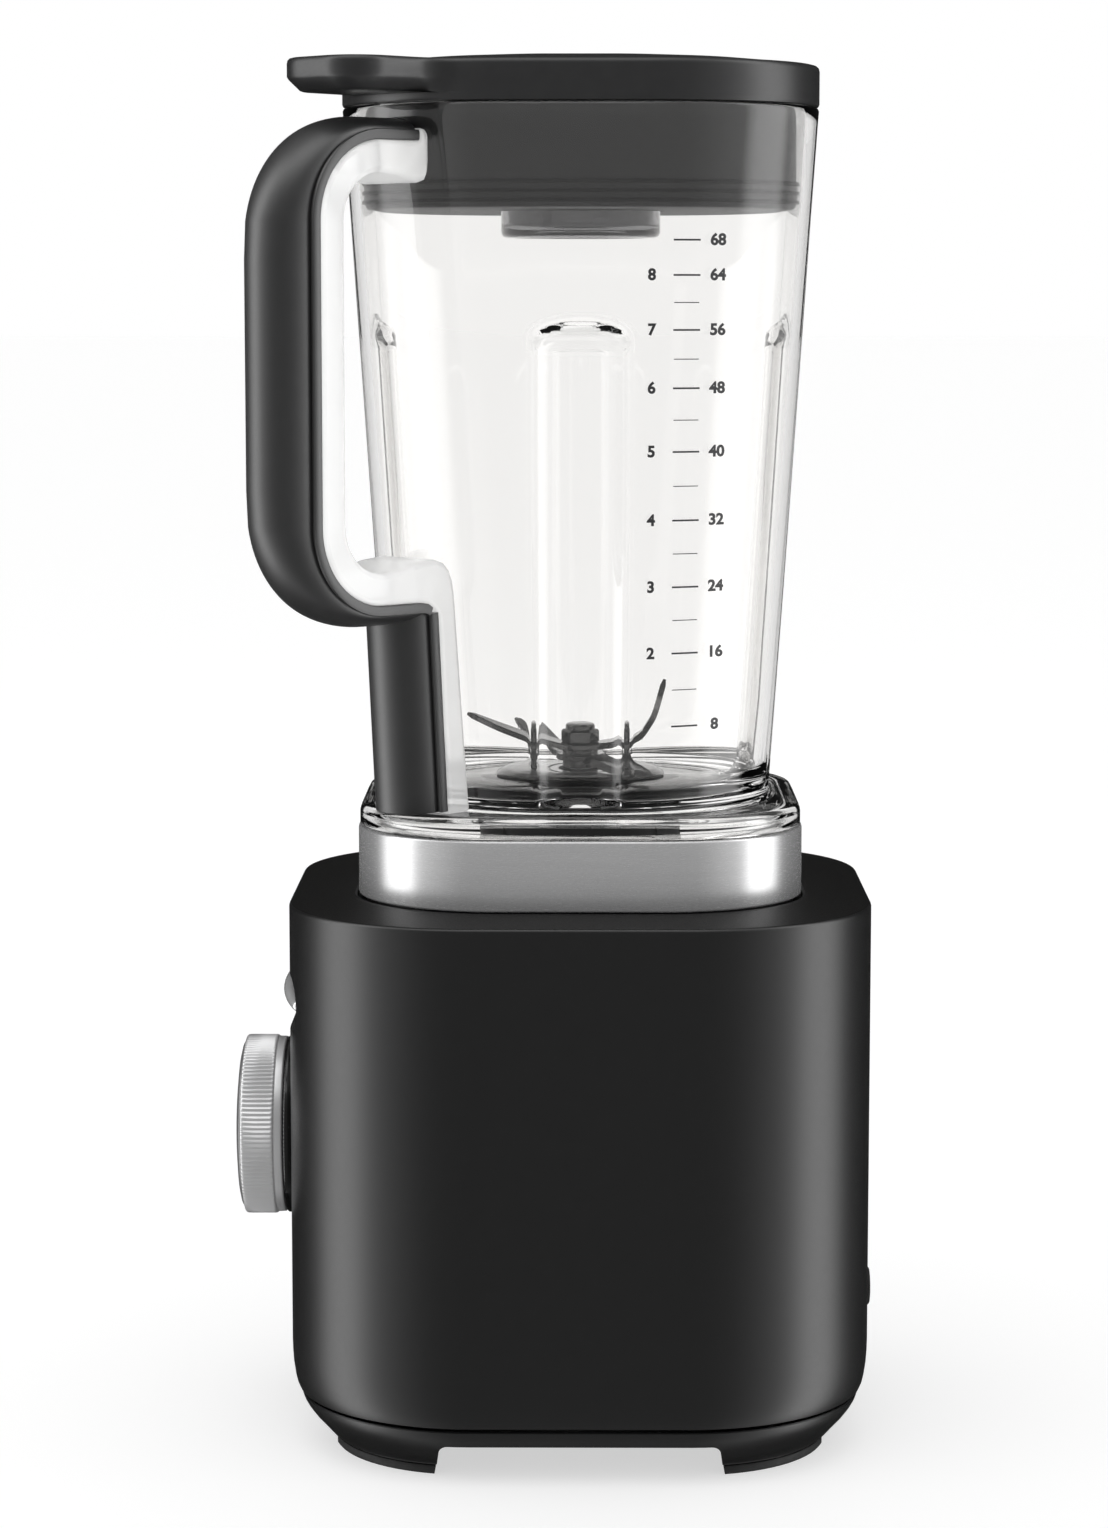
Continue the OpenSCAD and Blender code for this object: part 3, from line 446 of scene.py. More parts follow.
gz = (low("cord_gland").z + high("cord_gland").z) / 2
gx = high("cord_gland").x
to_rear = Matrix.Translation((gx, 0, gz)) @ Matrix.Rotation(math.pi / 2, 4, "Y")
build("cable_bushing", *lathe([(3.6, -11), (3.6, -0.6), (4.0, -0.1), (4.5, 0), (5.2, -0.1), (5.7, -0.45),
                               (5.85, -0.9), (5.85, -3), (4.95, -3), (4.95, -6.1), (7.5, -6.2), (7.5, -9.9),
                               (4.95, -10), (4.95, -11)], 48, to_rear),
      "rubber", "base", "rubber_black", ["cord_gland"])

# ------------------------------------------------------------------ controls

dial_z = (low("dial_knob").z + high("dial_knob").z) / 2
DIAL_R = (high("dial_knob").z - low("dial_knob").z) / 2
dial_back = high("dial_knob").x
dial_tip = low("dial_face").x
build("dial_ring", *lathe([(20, 0), (DIAL_R - 0.5, 0), (DIAL_R - 0.3, 0.3), (DIAL_R - 0.3, 2.6),
                           (DIAL_R - 0.6, 2.95), (20, 3)], 96, front_axis(-HOUSE, dial_z)),
      "gloss", "base", "gloss_black", ["dial_bezel"])


def knurled(rows, teeth, m):
    """Rings of (radius, height, depth of the grooves) round the dial."""
    n = teeth * 4
    rings = []
    for r, h, d in rows:
        ring = []
        for k in range(n):
            cut = (0, d * 0.45, d, d * 0.45)[k % 4]
            a = TURN * k / n
            ring.append(tuple(m @ Vector(((r - cut) * math.cos(a), (r - cut) * math.sin(a), h))))
        rings.append(ring)
    return loft(rings, loop=True)


R = DIAL_R
GRIP_H = dial_back - low("dial_knob").x
GROOVE = 0.42
rows = [(8, 0, 0), (R - 1.0, 0, 0), (R - 0.62, 0.25, 0), (R - 0.55, 0.6, 0), (R - 0.5, 2.3, 0),
        (R - 0.5, 2.55, 0), (R - 0.25, 2.75, 0.1), (R - 0.05, 3.1, 0.3), (R, 3.6, GROOVE), (R, 7, GROOVE),
        (R, GRIP_H - 1, GROOVE), (R - 0.12, GRIP_H - 0.4, 0.3), (R - 0.45, GRIP_H - 0.05, 0.1),
        (R - 0.9, GRIP_H, 0), (R - 1.5, GRIP_H - 0.2, 0), (R - 1.6, GRIP_H - 1.7, 0), (8, GRIP_H - 1.8, 0)]
build("dial_grip", *knurled(rows, 120, front_axis(dial_back, dial_z)), "dial", "dial", "dial_metal",
      ["dial_knob"], sharp=50)
face_x = high("dial_face").x
tip = face_x - dial_tip
rr = R - 1.75
build("dial_cap", *lathe([(0, 0.0), (rr, 0.0), (rr, 1.9), (rr - 0.25, 2.3), (rr - 0.9, 2.62), (rr - 3, 3.1),
                          (rr - 8, 3.66), (rr - 14, tip - 0.1), (0, tip)], 128, front_axis(face_x, dial_z)),
      "dial_face", "dial", "dial_metal", ["dial_face"])

m = front_axis(face_x - 2.9, dial_z) @ Matrix.Rotation(math.radians(-45), 4, "Z")
outline = [(rr - 8.5, -0.45), (rr - 3.2, -0.6), (rr - 2.8, 0), (rr - 3.2, 0.6), (rr - 8.5, 0.45)]
rings = [[tuple(m @ Vector((x, y, h - (x - rr + 8.5) * 0.085))) for x, y in outline] for h in (0.3, 0.86)]
build("dial_pointer", *loft(rings), "print", "dial", "gloss_black")

TICK_R = 29.8
ticks = ([], [])
for i in range(11):
    m = front_axis(-HOUSE, dial_z) @ Matrix.Rotation(math.radians(-45 - 27 * i), 4, "Z")
    length = 3.0 if i in (0, 5, 10) else 1.8
    outline = [(TICK_R, -0.3), (TICK_R + length, -0.3), (TICK_R + length, 0.3), (TICK_R, 0.3)]
    ticks = join(ticks, loft([[tuple(m @ Vector((x, y, h))) for x, y in outline] for h in (-0.05, 0.04)]))
build("dial_ticks", *ticks, "tick", "base", "gloss_black")

tb_low, tb_high = low("toggle_bar"), high("toggle_bar")
ROD_R, ROD_SIDES = 2.3, 28
TX, TY = tb_low.x + ROD_R, tb_high.y - ROD_R
sag = 4.6
bow = (TY * TY + sag * sag) / (2 * sag)
reach = math.asin(TY / bow)
rings = []
STEPS = 40
for i in range(-6, STEPS + 7):
    t = max(0, min(1, i / STEPS)) * 2 - 1
    a = t * reach
    centre = Vector((TX + bow - bow * math.cos(a), bow * math.sin(a), toggle_z))
    along = Vector((math.sin(a), math.cos(a), 0))
    over = -i if i < 0 else max(0, i - STEPS)
    r = ROD_R - 0.55 * t * t
    if over:
        cap = 14.5 * over
        centre = centre + along * (r * sind(cap)) * (1 if i > 0 else -1)
        r = max(0.02, r * cosd(cap))
    side = Vector((-math.cos(a), math.sin(a), 0))
    turns = [TURN * k / ROD_SIDES for k in range(ROD_SIDES)]
    rings.append([tuple(centre + side * (r * math.cos(b)) + Vector((0, 0, r * math.sin(b)))) for b in turns])
build("toggle_rod", *loft(rings), "chrome", "toggle", "toggle_chrome", ["toggle_bar"])

# ------------------------------------------------------------------ jar

FLOOR_HALF, RIM_HALF, JAR_R, WALL = 56.0, 68.5, 50.0, 3.1
JAR_FLOOR = 191.0
RIM_Z = low("lid_top").z - 0.3
FOOT_LOW = low("jar").z
FOOT, FOOT_R = 64.3, 40.0
RIB, RIB_HALF, RIB_TOP = 6.0, 12.3, 329.0
RIB_R = (RIB_HALF ** 2 + RIB ** 2) / (2 * RIB)
CENTRE_OUT = RIB_R - RIB
OUTER_END, INNER_END = 9.5, 5.5


def jar_half(z):
    return FLOOR_HALF + (RIM_HALF - FLOOR_HALF) * (z - JAR_FLOOR) / (RIM_Z - JAR_FLOOR)


def soft_max(a, b, k):
    return k * math.log(math.exp((a - b) / k) + 1) + b if (a - b) / k < 40 else a


def rib_depth(t, z, radius, end):
    """How far a rib of this radius stands in from the wall's outer line, t from the wall's middle.
    It dies away over the end's length; the glass is thickest over the arch."""
    lift = max(0.0, z - RIB_TOP + end) * RIB_R / end
    s = radius * radius - t * t - lift * lift
    return (math.sqrt(s) if s > 0 else -math.sqrt(-s)) - CENTRE_OUT


def jar_ring(z, half, corner, rib=0.0, radius=0.0, dense=26, arc=20):
    """A ring of the jar. rib scales the flutes, from 0 for none to 1 for full depth."""
    c = half - corner
    edge = 17.5
    ts = [edge * math.sin(math.pi / 2 * (2 * i / (dense * 2) - 1)) for i in range(dense * 2 + 1)]
    side = []
    for t in ts:
        a = abs(t)
        y = half if a <= c else c + math.sqrt(corner * corner - (a - c) ** 2)
        if rib > 0:
            d = rib_depth(t, z, radius, OUTER_END)
            inward = half - y
            surf = soft_max(d, inward, 0.5) if d > -8 else inward
            surf = inward + (surf - inward) * rib
            y = half - surf
        side.append((t, -y))
    a0 = math.degrees(math.asin(max(0.0, min(1.0, (edge - c) / corner))))
    turn = []
    for i in range(1, arc):
        a = a0 + (90 - a0 - a0) * i / arc
        turn.append((c + corner * sind(a), -(c + corner * cosd(a))))
    pts = []
    for q in range(4):
        ca, sa = math.cos(q * math.pi / 2), math.sin(q * math.pi / 2)
        for x, y in side + turn:
            pts.append((x * ca - y * sa, x * sa + y * ca, z))
    return pts


def outer(z, rib=1.0):
    return jar_ring(z, jar_half(z), JAR_R, rib, RIB_R)


def inner_ring(z, rib, back):
    """The inside: the wall's own thickness, pushed in where the rib's shell stands proud."""
    half, corner = jar_half(z) - WALL - back, JAR_R - WALL - back
    base = jar_ring(z, half, corner)
    out = []
    for x, y, _ in base:
        if rib > 0:
            for q in range(4):
                ca, sa = math.cos(-q * math.pi / 2), math.sin(-q * math.pi / 2)
                u, v = x * ca - y * sa, x * sa + y * ca
                if v < 0 and abs(u) <= 19 and -v > abs(u):
                    d = rib_depth(u, z, RIB_R + WALL, INNER_END)
                    reach = jar_half(z) + v
                    if d > -8:
                        v = -(jar_half(z) - (reach + (soft_max(d + back * 0.6, reach, 0.5) - reach) * rib))
                    x, y = u * ca + v * sa, -u * sa + v * ca
        out.append((x, y, z))
    return out


def circle_like(ring, r, z):
    """The same points pulled on to a circle, or part of the way in between."""
    return [(p[0] * r / math.hypot(p[0], p[1]), p[1] * r / math.hypot(p[0], p[1]), z) for p in ring]


def between(a, b, t, z):
    return [(p[0] + (q[0] - p[0]) * t, p[1] + (q[1] - p[1]) * t, z) for p, q in zip(a, b)]


def plain(half, corner, z):
    return jar_ring(z, half, corner)


ceiling = JAR_FLOOR - 4.5
foot_top = FOOT_LOW + 6.3
bore, foot_round = 21.0, 2.3
rings = [circle_like(plain(60, 37, ceiling), r, ceiling) for r in (bore, 40)]
rings += [plain(FOOT - inward, FOOT_R - inward, z) for inward, z in
          ((5.5, ceiling), (4.4, ceiling - 0.5), (4.0, ceiling - 1.5), (4.0, FOOT_LOW + 0.5), (3.5, FOOT_LOW),
           (0.6, FOOT_LOW), (0, FOOT_LOW + 0.6), (0, FOOT_LOW + 2.2), (0, foot_top - 2.4))]
for a in (20, 40, 60, 80):
    cut = foot_round * (1 - cosd(a))
    rings.append(plain(FOOT - cut, FOOT_R - cut, foot_top - foot_round + foot_round * sind(a)))
rings.append(plain(FOOT - 3.2, FOOT_R - 1, foot_top))
rings.append(plain(FOOT - 5.3, FOOT_R + 1.6, foot_top - 0.05))
hj = jar_half(foot_top)
rings.append(plain(hj + 1.9, 48.2, foot_top + 0.02))
rings.append(plain(hj + 0.9, 49.1, foot_top + 0.35))
rings.append(plain(hj + 0.25, 49.8, foot_top + 1.1))
for z, rib in ((JAR_FLOOR - 0.4, 0.0), (JAR_FLOOR + 0.3, 0.25), (JAR_FLOOR + 1.0, 0.8),
               (JAR_FLOOR + 1.8, 1.0)):
    rings.append(outer(z, rib))
zs = [196, 202, 210, 220, 235, 250, 265, 280, 295, 305, 311, 315]
zs += [317 + 1.1 * i for i in range(16)] + [336, 340, 348, 358, 368, 378, 384]
for z in zs:
    rings.append(outer(z))
h = jar_half(RIM_Z)
rings += [plain(h - inward, JAR_R - inward, RIM_Z - down) for inward, down in
          ((0, 0.9), (0.3, 0.25), (0.9, 0), (WALL - 0.9, 0), (WALL - 0.3, 0.25))]
for z in reversed(zs[3:]):
    rings.append(inner_ring(z, 1.0, 0.0))
fillet = 9.0
for a in range(0, 91, 9):
    z = JAR_FLOOR + fillet - fillet * sind(a)
    rings.append(inner_ring(z, 1.0, fillet * (1 - cosd(a))))
last = rings[-1]
round_floor = circle_like(last, 27, JAR_FLOOR)
rings += [between(last, round_floor, t, JAR_FLOOR) for t in (0.35, 0.7)] + [round_floor]
rings.append(circle_like(last, bore + 0.3, JAR_FLOOR))
rings.append(circle_like(last, bore, JAR_FLOOR - 0.3))
jar_data = loft(rings, loop=True)

# The handle, in the upright plane through the jar's corner: distance from the axis, and height
HANDLE_TURN = 225
SPIN = Matrix.Rotation(math.radians(HANDLE_TURN), 4, "Z")
GRIP_R, GRIP_HI, GRIP_LO, BEND, CORE_DEEP = 111.8, 355.4, 272.0, 22.6, 9


def corner_reach(z):
    return (jar_half(z) - JAR_R) * math.sqrt(2) + JAR_R


def in_plane(r, s, z):
    return tuple(SPIN @ Vector((r, s, z)))


def core_outline():
    top, low_z = GRIP_HI + BEND, GRIP_LO - BEND
    bx = GRIP_R - BEND
    pts = [(70.9, top + 1.0), (71.3, top + 2.4), (72.3, top + 3.3), (73.6, top + 3.5), (74.7, top + 3.0),
           (75.1, top + 1.6), (75.1, top), (80, top)]
    pts += arc_points(bx, GRIP_HI, BEND, 90, 0, 14)
    pts += [(GRIP_R, z) for z in (334, 313, 292)]
    pts += arc_points(bx, GRIP_LO, BEND, 0, -90, 14)
    pts += [(82, low_z), (74.6, low_z), (72.2, low_z - 0.5), (70.2, low_z - 2.0), (69.0, low_z - 4.4),
            (68.55, low_z - 7.4), (67.6, 226), (66.4, 208), (65.2, 191), (65.1, foot_top - 0.8),
            (corner_reach(190) - 2.0, foot_top - 0.8)]
    pts += [(corner_reach(z) - 1.9, z) for z in (200, 215, 230, 245, 251)]
    pts += [(corner_reach(255) - 1.5, 255.0), (corner_reach(258) - 0.4, 258.2),
            (corner_reach(260) + 1.6, 260.4), (corner_reach(261) + 4.6, 261.4), (77.5, 260.6), (82, 259.3)]
    pts += arc_points(bx, GRIP_LO, BEND - CORE_DEEP, -90, 0, 12)
    pts += [(GRIP_R - CORE_DEEP, z) for z in (292, 313, 334)]
    pts += arc_points(bx, GRIP_HI, BEND - CORE_DEEP, 0, 90, 12)
    return pts + [(83, top - 9.6), (78.5, top - 11), (75.2, top - 11.6), (73, top - 10.9),
                  (71.6, top - 8.8), (71, top - 5.6)]


def offset(points, d):
    """Moves a closed outline inward by d along its normals, whichever way round it runs."""
    n = len(points)
    area = sum(p[0] * q[1] - q[0] * p[1] for p, q in zip(points, points[1:] + points[:1]))
    sign = 1 if area > 0 else -1
    out = []
    for i, p in enumerate(points):
        a, b = Vector(points[i - 1]), Vector(points[(i + 1) % n])
        e1, e2 = (Vector(p) - a).normalized(), (b - Vector(p)).normalized()
        e = (e1 + e2).normalized()
        nrm = Vector((-e.y, e.x)) * sign
        out.append((p[0] + nrm.x * d, p[1] + nrm.y * d))
    return out


core = core_outline()
half_w = 12.3
rows = [(-half_w, 1.7), (-half_w + 0.23, 0.85), (-half_w + 0.85, 0.23), (-half_w + 1.7, 0.0)]
rows += [(-s, d) for s, d in reversed(rows)]
core_data = loft([[in_plane(x, s, y) for x, y in offset(core, d)] for s, d in rows])
build("jar_clear", *jar_data, "clear", "jar", "jar_clear", ["jar"], sharp=50)
# Painted light: the frosted handle core emits a little white light, though it is no lamp, so it reads bright
# white.
core_painted_light = MAT["core"].node_tree.nodes["Principled BSDF"].inputs
core_painted_light["Emission Color"].default_value = (1, 1, 1, 1)
core_painted_light["Emission Strength"].default_value = 0.12
handle_core = build("handle_core", *core_data, "core", "jar", "jar_clear", sharp=50)
for poly in handle_core.data.polygons:
    if len(poly.vertices) > 6:
        poly.use_smooth = False

# The grip: a flat rim and a half-round back, parted by a narrow groove


def grip_ring(x, y, a, depth, width=12.5, rim=3.0):
    back = max(0.0, depth)
    sec = [(-width + 0.5, 0.02), (width - 0.5, 0.02), (width - 0.1, 0.3), (width, 0.8), (width, rim - 0.7),
           (width - 0.2, rim - 0.2), (width - 0.6, rim), (width - 0.95, rim - 0.05),
           (width - 1.15, rim - 0.65), (width - 1.4, rim - 0.65)]
    dome_w = width - 1.7
    for i in range(0, 25):
        t = math.pi * i / 24
        sec.append((dome_w * math.cos(t), rim - 0.5 + (back + 0.5) * math.sin(t)))
    sec += [(-p, q) for p, q in reversed(sec[2:10])]
    return [in_plane(x + o * cosd(a), w, y + o * sind(a)) for w, o in sec]


BACK_BEND, DOME = 36.0, 11.0
bx = GRIP_R - BEND
ddx, ddz = GRIP_R + 3 + DOME - BACK_BEND - bx, 6.9


def dome_at(a):
    b = ddx * cosd(a) - ddz * abs(sind(a))
    return min(DOME, b + math.sqrt(max(0, b * b - ddx * ddx - ddz * ddz + BACK_BEND ** 2)) - BEND - 3)


def grip_bend(z, start):
    """Rings round one bend of the grip, through 90 degrees from the start angle."""
    turns = [start - 90 * i / 24 for i in range(25)]
    return [grip_ring(bx + BEND * cosd(a), z + BEND * sind(a), a, dome_at(a)) for a in turns]


rings = [grip_ring(x, GRIP_HI + BEND, 90, dome_at(90)) for x in (75.6, 77, 80, 85)]
rings += grip_bend(GRIP_HI, 90)
rings += [grip_ring(GRIP_R, z, 0, DOME) for z in (345, 330, 313, 296, 282)]
rings += grip_bend(GRIP_LO, 0)
for x in (84, 78, 74.6):
    rings.append(grip_ring(x, GRIP_LO - BEND, -90, dome_at(90)))
for turn_a, x, z in ((-80, 72.4, GRIP_LO - BEND - 0.35), (-66, 71.0, GRIP_LO - BEND - 1.2)):
    rings.append(grip_ring(x, z, turn_a, 1.6))
loop_data = loft(rings)
rings = []
LEAN_OUT, LEAN_UP = 3.5, 57
lean = math.degrees(math.atan(LEAN_OUT / LEAN_UP))
for z in (foot_top + 0.85, foot_top + 1.2, 200, 212, 224, 236, 243, 246.5):
    r = 65.25 + LEAN_OUT * (z - foot_top) / LEAN_UP
    rings.append(grip_ring(r, z, -lean, DOME - 1.0 - (0.5 if z < foot_top + 1 else 0)))
column_data = loft(rings)
build("grip", *join(loop_data, column_data), "grip", "jar", "grip_soft", ["handle_grip"], sharp=40)

# ------------------------------------------------------------------ scale on the near wall

FONT_SIZE = 4.4
INK_LOW, INK_TOP = 0.03, 0.09


def on_wall(x, z, lift):
    """A point of the outer near wall, lifted a little."""
    c = jar_half(z) - JAR_R
    a = abs(x)
    y = jar_half(z) if a <= c else c + math.sqrt(JAR_R ** 2 - (a - c) ** 2)
    nx = 0 if a <= c else math.copysign((a - c) / JAR_R, x)
    ny = 1 if a <= c else math.sqrt(1 - nx * nx)
    return (x + nx * lift, -(y + ny * lift), z)


def numeral(text, x, z):
    """Number outlines, set as a thin printed layer that follows the wall."""
    cu = bpy.data.curves.new("figure", "FONT")
    cu.body = text
    cu.size = FONT_SIZE
    cu.align_x = "CENTER"
    cu.align_y = "CENTER"
    cu.offset = 0.17
    cu.extrude = 0.5
    cu.resolution_u = 4
    obj = bpy.data.objects.new("figure", cu)
    bpy.context.scene.collection.objects.link(obj)
    bpy.context.view_layer.update()
    mesh = bpy.data.meshes.new_from_object(obj.evaluated_get(bpy.context.evaluated_depsgraph_get()))
    verts = [on_wall(x + v.co.x, z + v.co.y, INK_LOW if v.co.z < 0 else INK_TOP) for v in mesh.vertices]
    faces = [tuple(p.vertices) for p in mesh.polygons]
    bpy.data.objects.remove(obj)
    return verts, faces


def dash(x0, x1, z, thick):
    steps, half = 8, thick / 2
    rings = []
    for i in range(steps + 1):
        x = x0 + (x1 - x0) * i / steps
        rings.append([on_wall(x, z - half, INK_LOW), on_wall(x, z - half, INK_TOP),
                      on_wall(x, z + half, INK_TOP), on_wall(x, z + half, INK_LOW)])
    return loft(rings)


scale_marks = ([], [])
levels = [("", "8", 213.7), ("2", "16", 234.7), ("3", "24", 253.6), ("4", "32", 272.5), ("5", "40", 291.8),
          ("6", "48", 309.6), ("7", "56", 325.8), ("8", "64", 341.0), ("", "68", 350.7)]
for i, (left, right, z) in enumerate(levels):
    scale_marks = join(scale_marks, dash(25.8, 33.3, z, 0.5))
    if 0 < i < len(levels) - 1:
        scale_marks = join(scale_marks, dash(26.0, 33.0, (z + levels[i - 1][2]) / 2, 0.26))
    for text, x in ((left, 19.8), (right, 38.3)):
        if text:
            scale_marks = join(scale_marks, numeral(text, x, z))
build("volume_scale", *scale_marks, "print", "jar", "charcoal_plastic", recalc=False)

# ------------------------------------------------------------------ drive seen through the jar

build("blade_mount", *lathe([(11, 178), (20.2, 178), (20.8, 178.6), (20.8, 192), (24.4, 192), (25, 192.5),
                             (25, 193.2), (24.6, 193.7), (22.6, 194.7), (21.6, 195), (13, 195), (12.6, 194.6),
                             (12.0, 194.5), (11.6, 195), (8.4, 195), (8, 194.7), (8, 193.2), (11, 193.2)],
                             128),
      "blade", "jar", "blade_steel", ["bearing_housing"])

hex_data = loft([[(r * cosd(60 * k), r * sind(60 * k), z) for k in range(6)]
                 for r, z in ((6.4, 203.0), (7.0, 203.4), (7.0, 206.4), (6.4, 207.0))])
dome_data = lathe([(0, 206.9), (5.4, 206.9), (5.4, 208.1), (5.1, 208.6), (4.4, 208.85), (0, 208.9)], 48)
build("blade_cap_nut", *join(hex_data, dome_data), "blade", "blades", "blade_steel", ["blade_nut"], sharp=30)


def arm(turn, stations):
    """One blade arm: stations of (distance, height, half width ahead, half width behind, bank in degrees)."""
    rings = []
    m = Matrix.Rotation(math.radians(turn), 4, "Z")
    n = len(stations)
    for i, (r, z, ahead, behind, bank) in enumerate(stations):
        a, b = stations[max(0, i - 1)], stations[min(n - 1, i + 1)]
        slope = math.atan2(b[1] - a[1], b[0] - a[0])
        up = Vector((-math.sin(slope), 0, math.cos(slope)))
        across = Vector((0, 1, 0)) * cosd(bank) + up * sind(bank)
        up = up * cosd(bank) - Vector((0, 1, 0)) * sind(bank)
        t = 0.85 if i < n - 1 else 0.4
        bevel = min(2.2, ahead * 0.45)
        sec = [(-ahead, -t * 0.75), (-ahead + bevel, t), (behind - 0.3, t), (behind, t - 0.3),
               (behind, -t + 0.3), (behind - 0.3, -t), (-ahead + 0.3, -t)]
        rings.append([tuple(m @ (Vector((r, 0, z)) + across * p + up * q)) for p, q in sec])
    return loft(rings)


def curve_stations(keys, steps=18):
    out = []
    for i in range(steps + 1):
        t = i / steps * (len(keys) - 1)
        k = min(int(t), len(keys) - 2)
        f = t - k
        out.append(tuple(keys[k][j] + (keys[k + 1][j] - keys[k][j]) * f for j in range(5)))
    for _ in range(2):
        out = [out[0]] + [tuple((out[i - 1][j] + 2 * out[i][j] + out[i + 1][j]) / 4 for j in range(5))
                          for i in range(1, len(out) - 1)] + [out[-1]]
    return out


hub_up = lathe([(4, 201.2), (8.8, 201.2), (9.1, 201.5), (9.1, 202.7), (8.8, 203.0), (4, 203.0)], 64)
hub_down = lathe([(4, 198.0), (8.8, 198.0), (9.1, 198.3), (9.1, 199.5), (8.8, 199.8), (4, 199.8)], 64)
left = curve_stations([(6, 202.1, 5.4, 5.4, 0), (14, 203.6, 5.3, 4.8, -3), (24, 207.2, 4.2, 3.2, -6),
                       (34.0, 211.4, 0.5, 0.6, -8)])
right = curve_stations([(6, 202.1, 5.4, 5.4, 0), (13, 202.8, 5.4, 5.0, 2), (18.5, 205.2, 5.2, 4.6, 4),
                        (22.4, 211.5, 4.6, 3.9, 5), (25.4, 222.4, 0.5, 0.6, 5)], 24)
build("blade_pair_upper", *join(hub_up, arm(176, left), arm(-8, right)), "blade", "blades", "blade_steel",
      ["blade_upper"], sharp=28)
near = curve_stations([(6, 198.9, 5.4, 5.4, 0), (14, 198.2, 5.4, 4.8, 4), (24, 197.0, 4.2, 3.2, 7),
                       (33.3, 196.0, 0.6, 0.8, 8)])
far = curve_stations([(6, 198.9, 5.4, 5.4, 0), (13, 199.6, 5.3, 4.8, -3), (23, 203.4, 4.0, 3.2, -6),
                      (32.2, 207.2, 0.5, 0.6, -8)])
build("blade_pair_lower", *join(hub_down, arm(-52, near), arm(128, far)), "blade", "blades", "blade_steel",
      ["blade_lower"], sharp=28)

# ------------------------------------------------------------------ lid

LID, LID_R = high("lid_top").y, 50.0
LID_LOW, LID_TOP = low("lid_top").z, high("lid_top").z - 2.9
CROWN = high("lid_top").z
LID_ROUND = 1.5
TAB_TIP, TAB_HALF, TAB_ROUND, WAIST = 104.6, 17.5, 12.0, 12.0
corner_x = (LID - LID_R) * math.sqrt(2)
waist_y = TAB_HALF + WAIST
waist_x = corner_x + math.sqrt((LID_R + WAIST) ** 2 - waist_y ** 2)
meet = math.degrees(math.asin(waist_y / (LID_R + WAIST)))


def lid_outline():
    """The lid from above, in the handle's direction: tab tip, waist, corner arc, then the other corners."""
    half = [(TAB_TIP, 0.0), (TAB_TIP, 3.0)]
    half += arc_points(TAB_TIP - TAB_ROUND, TAB_HALF - TAB_ROUND, TAB_ROUND, 0, 90, 12)
    half += [(87, TAB_HALF)]
    half += arc_points(waist_x, waist_y, WAIST, -90, meet - 180, 10)
    half += arc_points(corner_x, 0, LID_R, meet, 45, 8)[1:]
    half += arc_points(0, corner_x, LID_R, 45, 135, 28)
    half += arc_points(-corner_x, 0, LID_R, 135, 180, 14)
    return half + [(x, -y) for x, y in reversed(half[1:-1])]


def square_reach(angle, half, corner):
    """Distance from the axis to a rounded square whose corner lies on the 0 direction."""
    a = math.radians((angle + 45) % 90 - 45)
    cx = (half - corner) * math.sqrt(2)
    s = cx * math.sin(a)
    hit = cx * math.cos(a) + math.sqrt(max(0.0, corner * corner - s * s))
    x, y = hit * math.cos(a), hit * math.sin(a)
    if abs(math.atan2(y, x - cx)) <= math.radians(45):
        return hit
    return half / cosd(45 - abs(math.degrees(a)))


plan = lid_outline()
angles = [math.degrees(math.atan2(y, x)) for x, y in plan]
in_tab = [max(0.0, min(1.0, (math.hypot(x, y) - square_reach(a, LID, LID_R)) / 4))
          for (x, y), a in zip(plan, angles)]


def lid_ring(d, z, tab_d=0.0):
    """The outline moved inward, more so round the tab."""
    moved = [offset(plan, d), offset(plan, d + tab_d)]
    return [tuple(SPIN @ Vector((p[0] + (q[0] - p[0]) * w, p[1] + (q[1] - p[1]) * w, z)))
            for p, q, w in zip(moved[0], moved[1], in_tab)]


def round_ring(r, z):
    return [tuple(SPIN @ Vector((r * cosd(a), r * sind(a), z))) for a in angles]


def body_ring(half, corner, z):
    reaches = [square_reach(a, half, corner) for a in angles]
    return [tuple(SPIN @ Vector((r * cosd(a), r * sind(a), z))) for r, a in zip(reaches, angles)]


rings = [body_ring(59.8, 43.5, LID_LOW), body_ring(LID - 0.7, LID_R - 0.7, LID_LOW),
         body_ring(LID - 0.2, LID_R - 0.2, LID_LOW + 0.2), body_ring(LID, LID_R, LID_LOW + 0.8),
         body_ring(LID, LID_R, LID_LOW + 2.25), lid_ring(0.0, LID_LOW + 2.3, 4.6),
         lid_ring(0.0, LID_LOW + 2.6, 3.6), lid_ring(0.0, LID_LOW + 5.6, 0.5),
         lid_ring(0.0, LID_LOW + 6.4, 0.0), lid_ring(0.0, LID_TOP - 1.6)]
for a in (30, 60, 90):
    rings.append(lid_ring(LID_ROUND * (1 - cosd(a)), LID_TOP - LID_ROUND + LID_ROUND * sind(a)))
rings += [lid_ring(2.6, LID_TOP + 0.02), body_ring(LID - 4.2, LID_R - 4.2, LID_TOP + 0.12),
          body_ring(LID - 9, LID_R - 7, LID_TOP + 0.75), body_ring(LID - 17, LID_R - 10, LID_TOP + 1.75),
          body_ring(LID - 27, LID_R - 14, LID_TOP + 2.55)]
rings += [round_ring(r, z) for r, z in
          ((34, CROWN - 0.12), (31.6, CROWN), (30.9, CROWN - 0.15), (30.4, CROWN - 0.7),
           (30.4, LID_TOP - 2.2), (24, LID_TOP - 2.2), (24, LID_TOP - 5))]
rings.append(body_ring(59.8, 43.5, LID_TOP - 5))
build("lid_cover", *loft(rings, loop=True), "lid", "lid", "lid_charcoal", ["lid_top"], sharp=35)

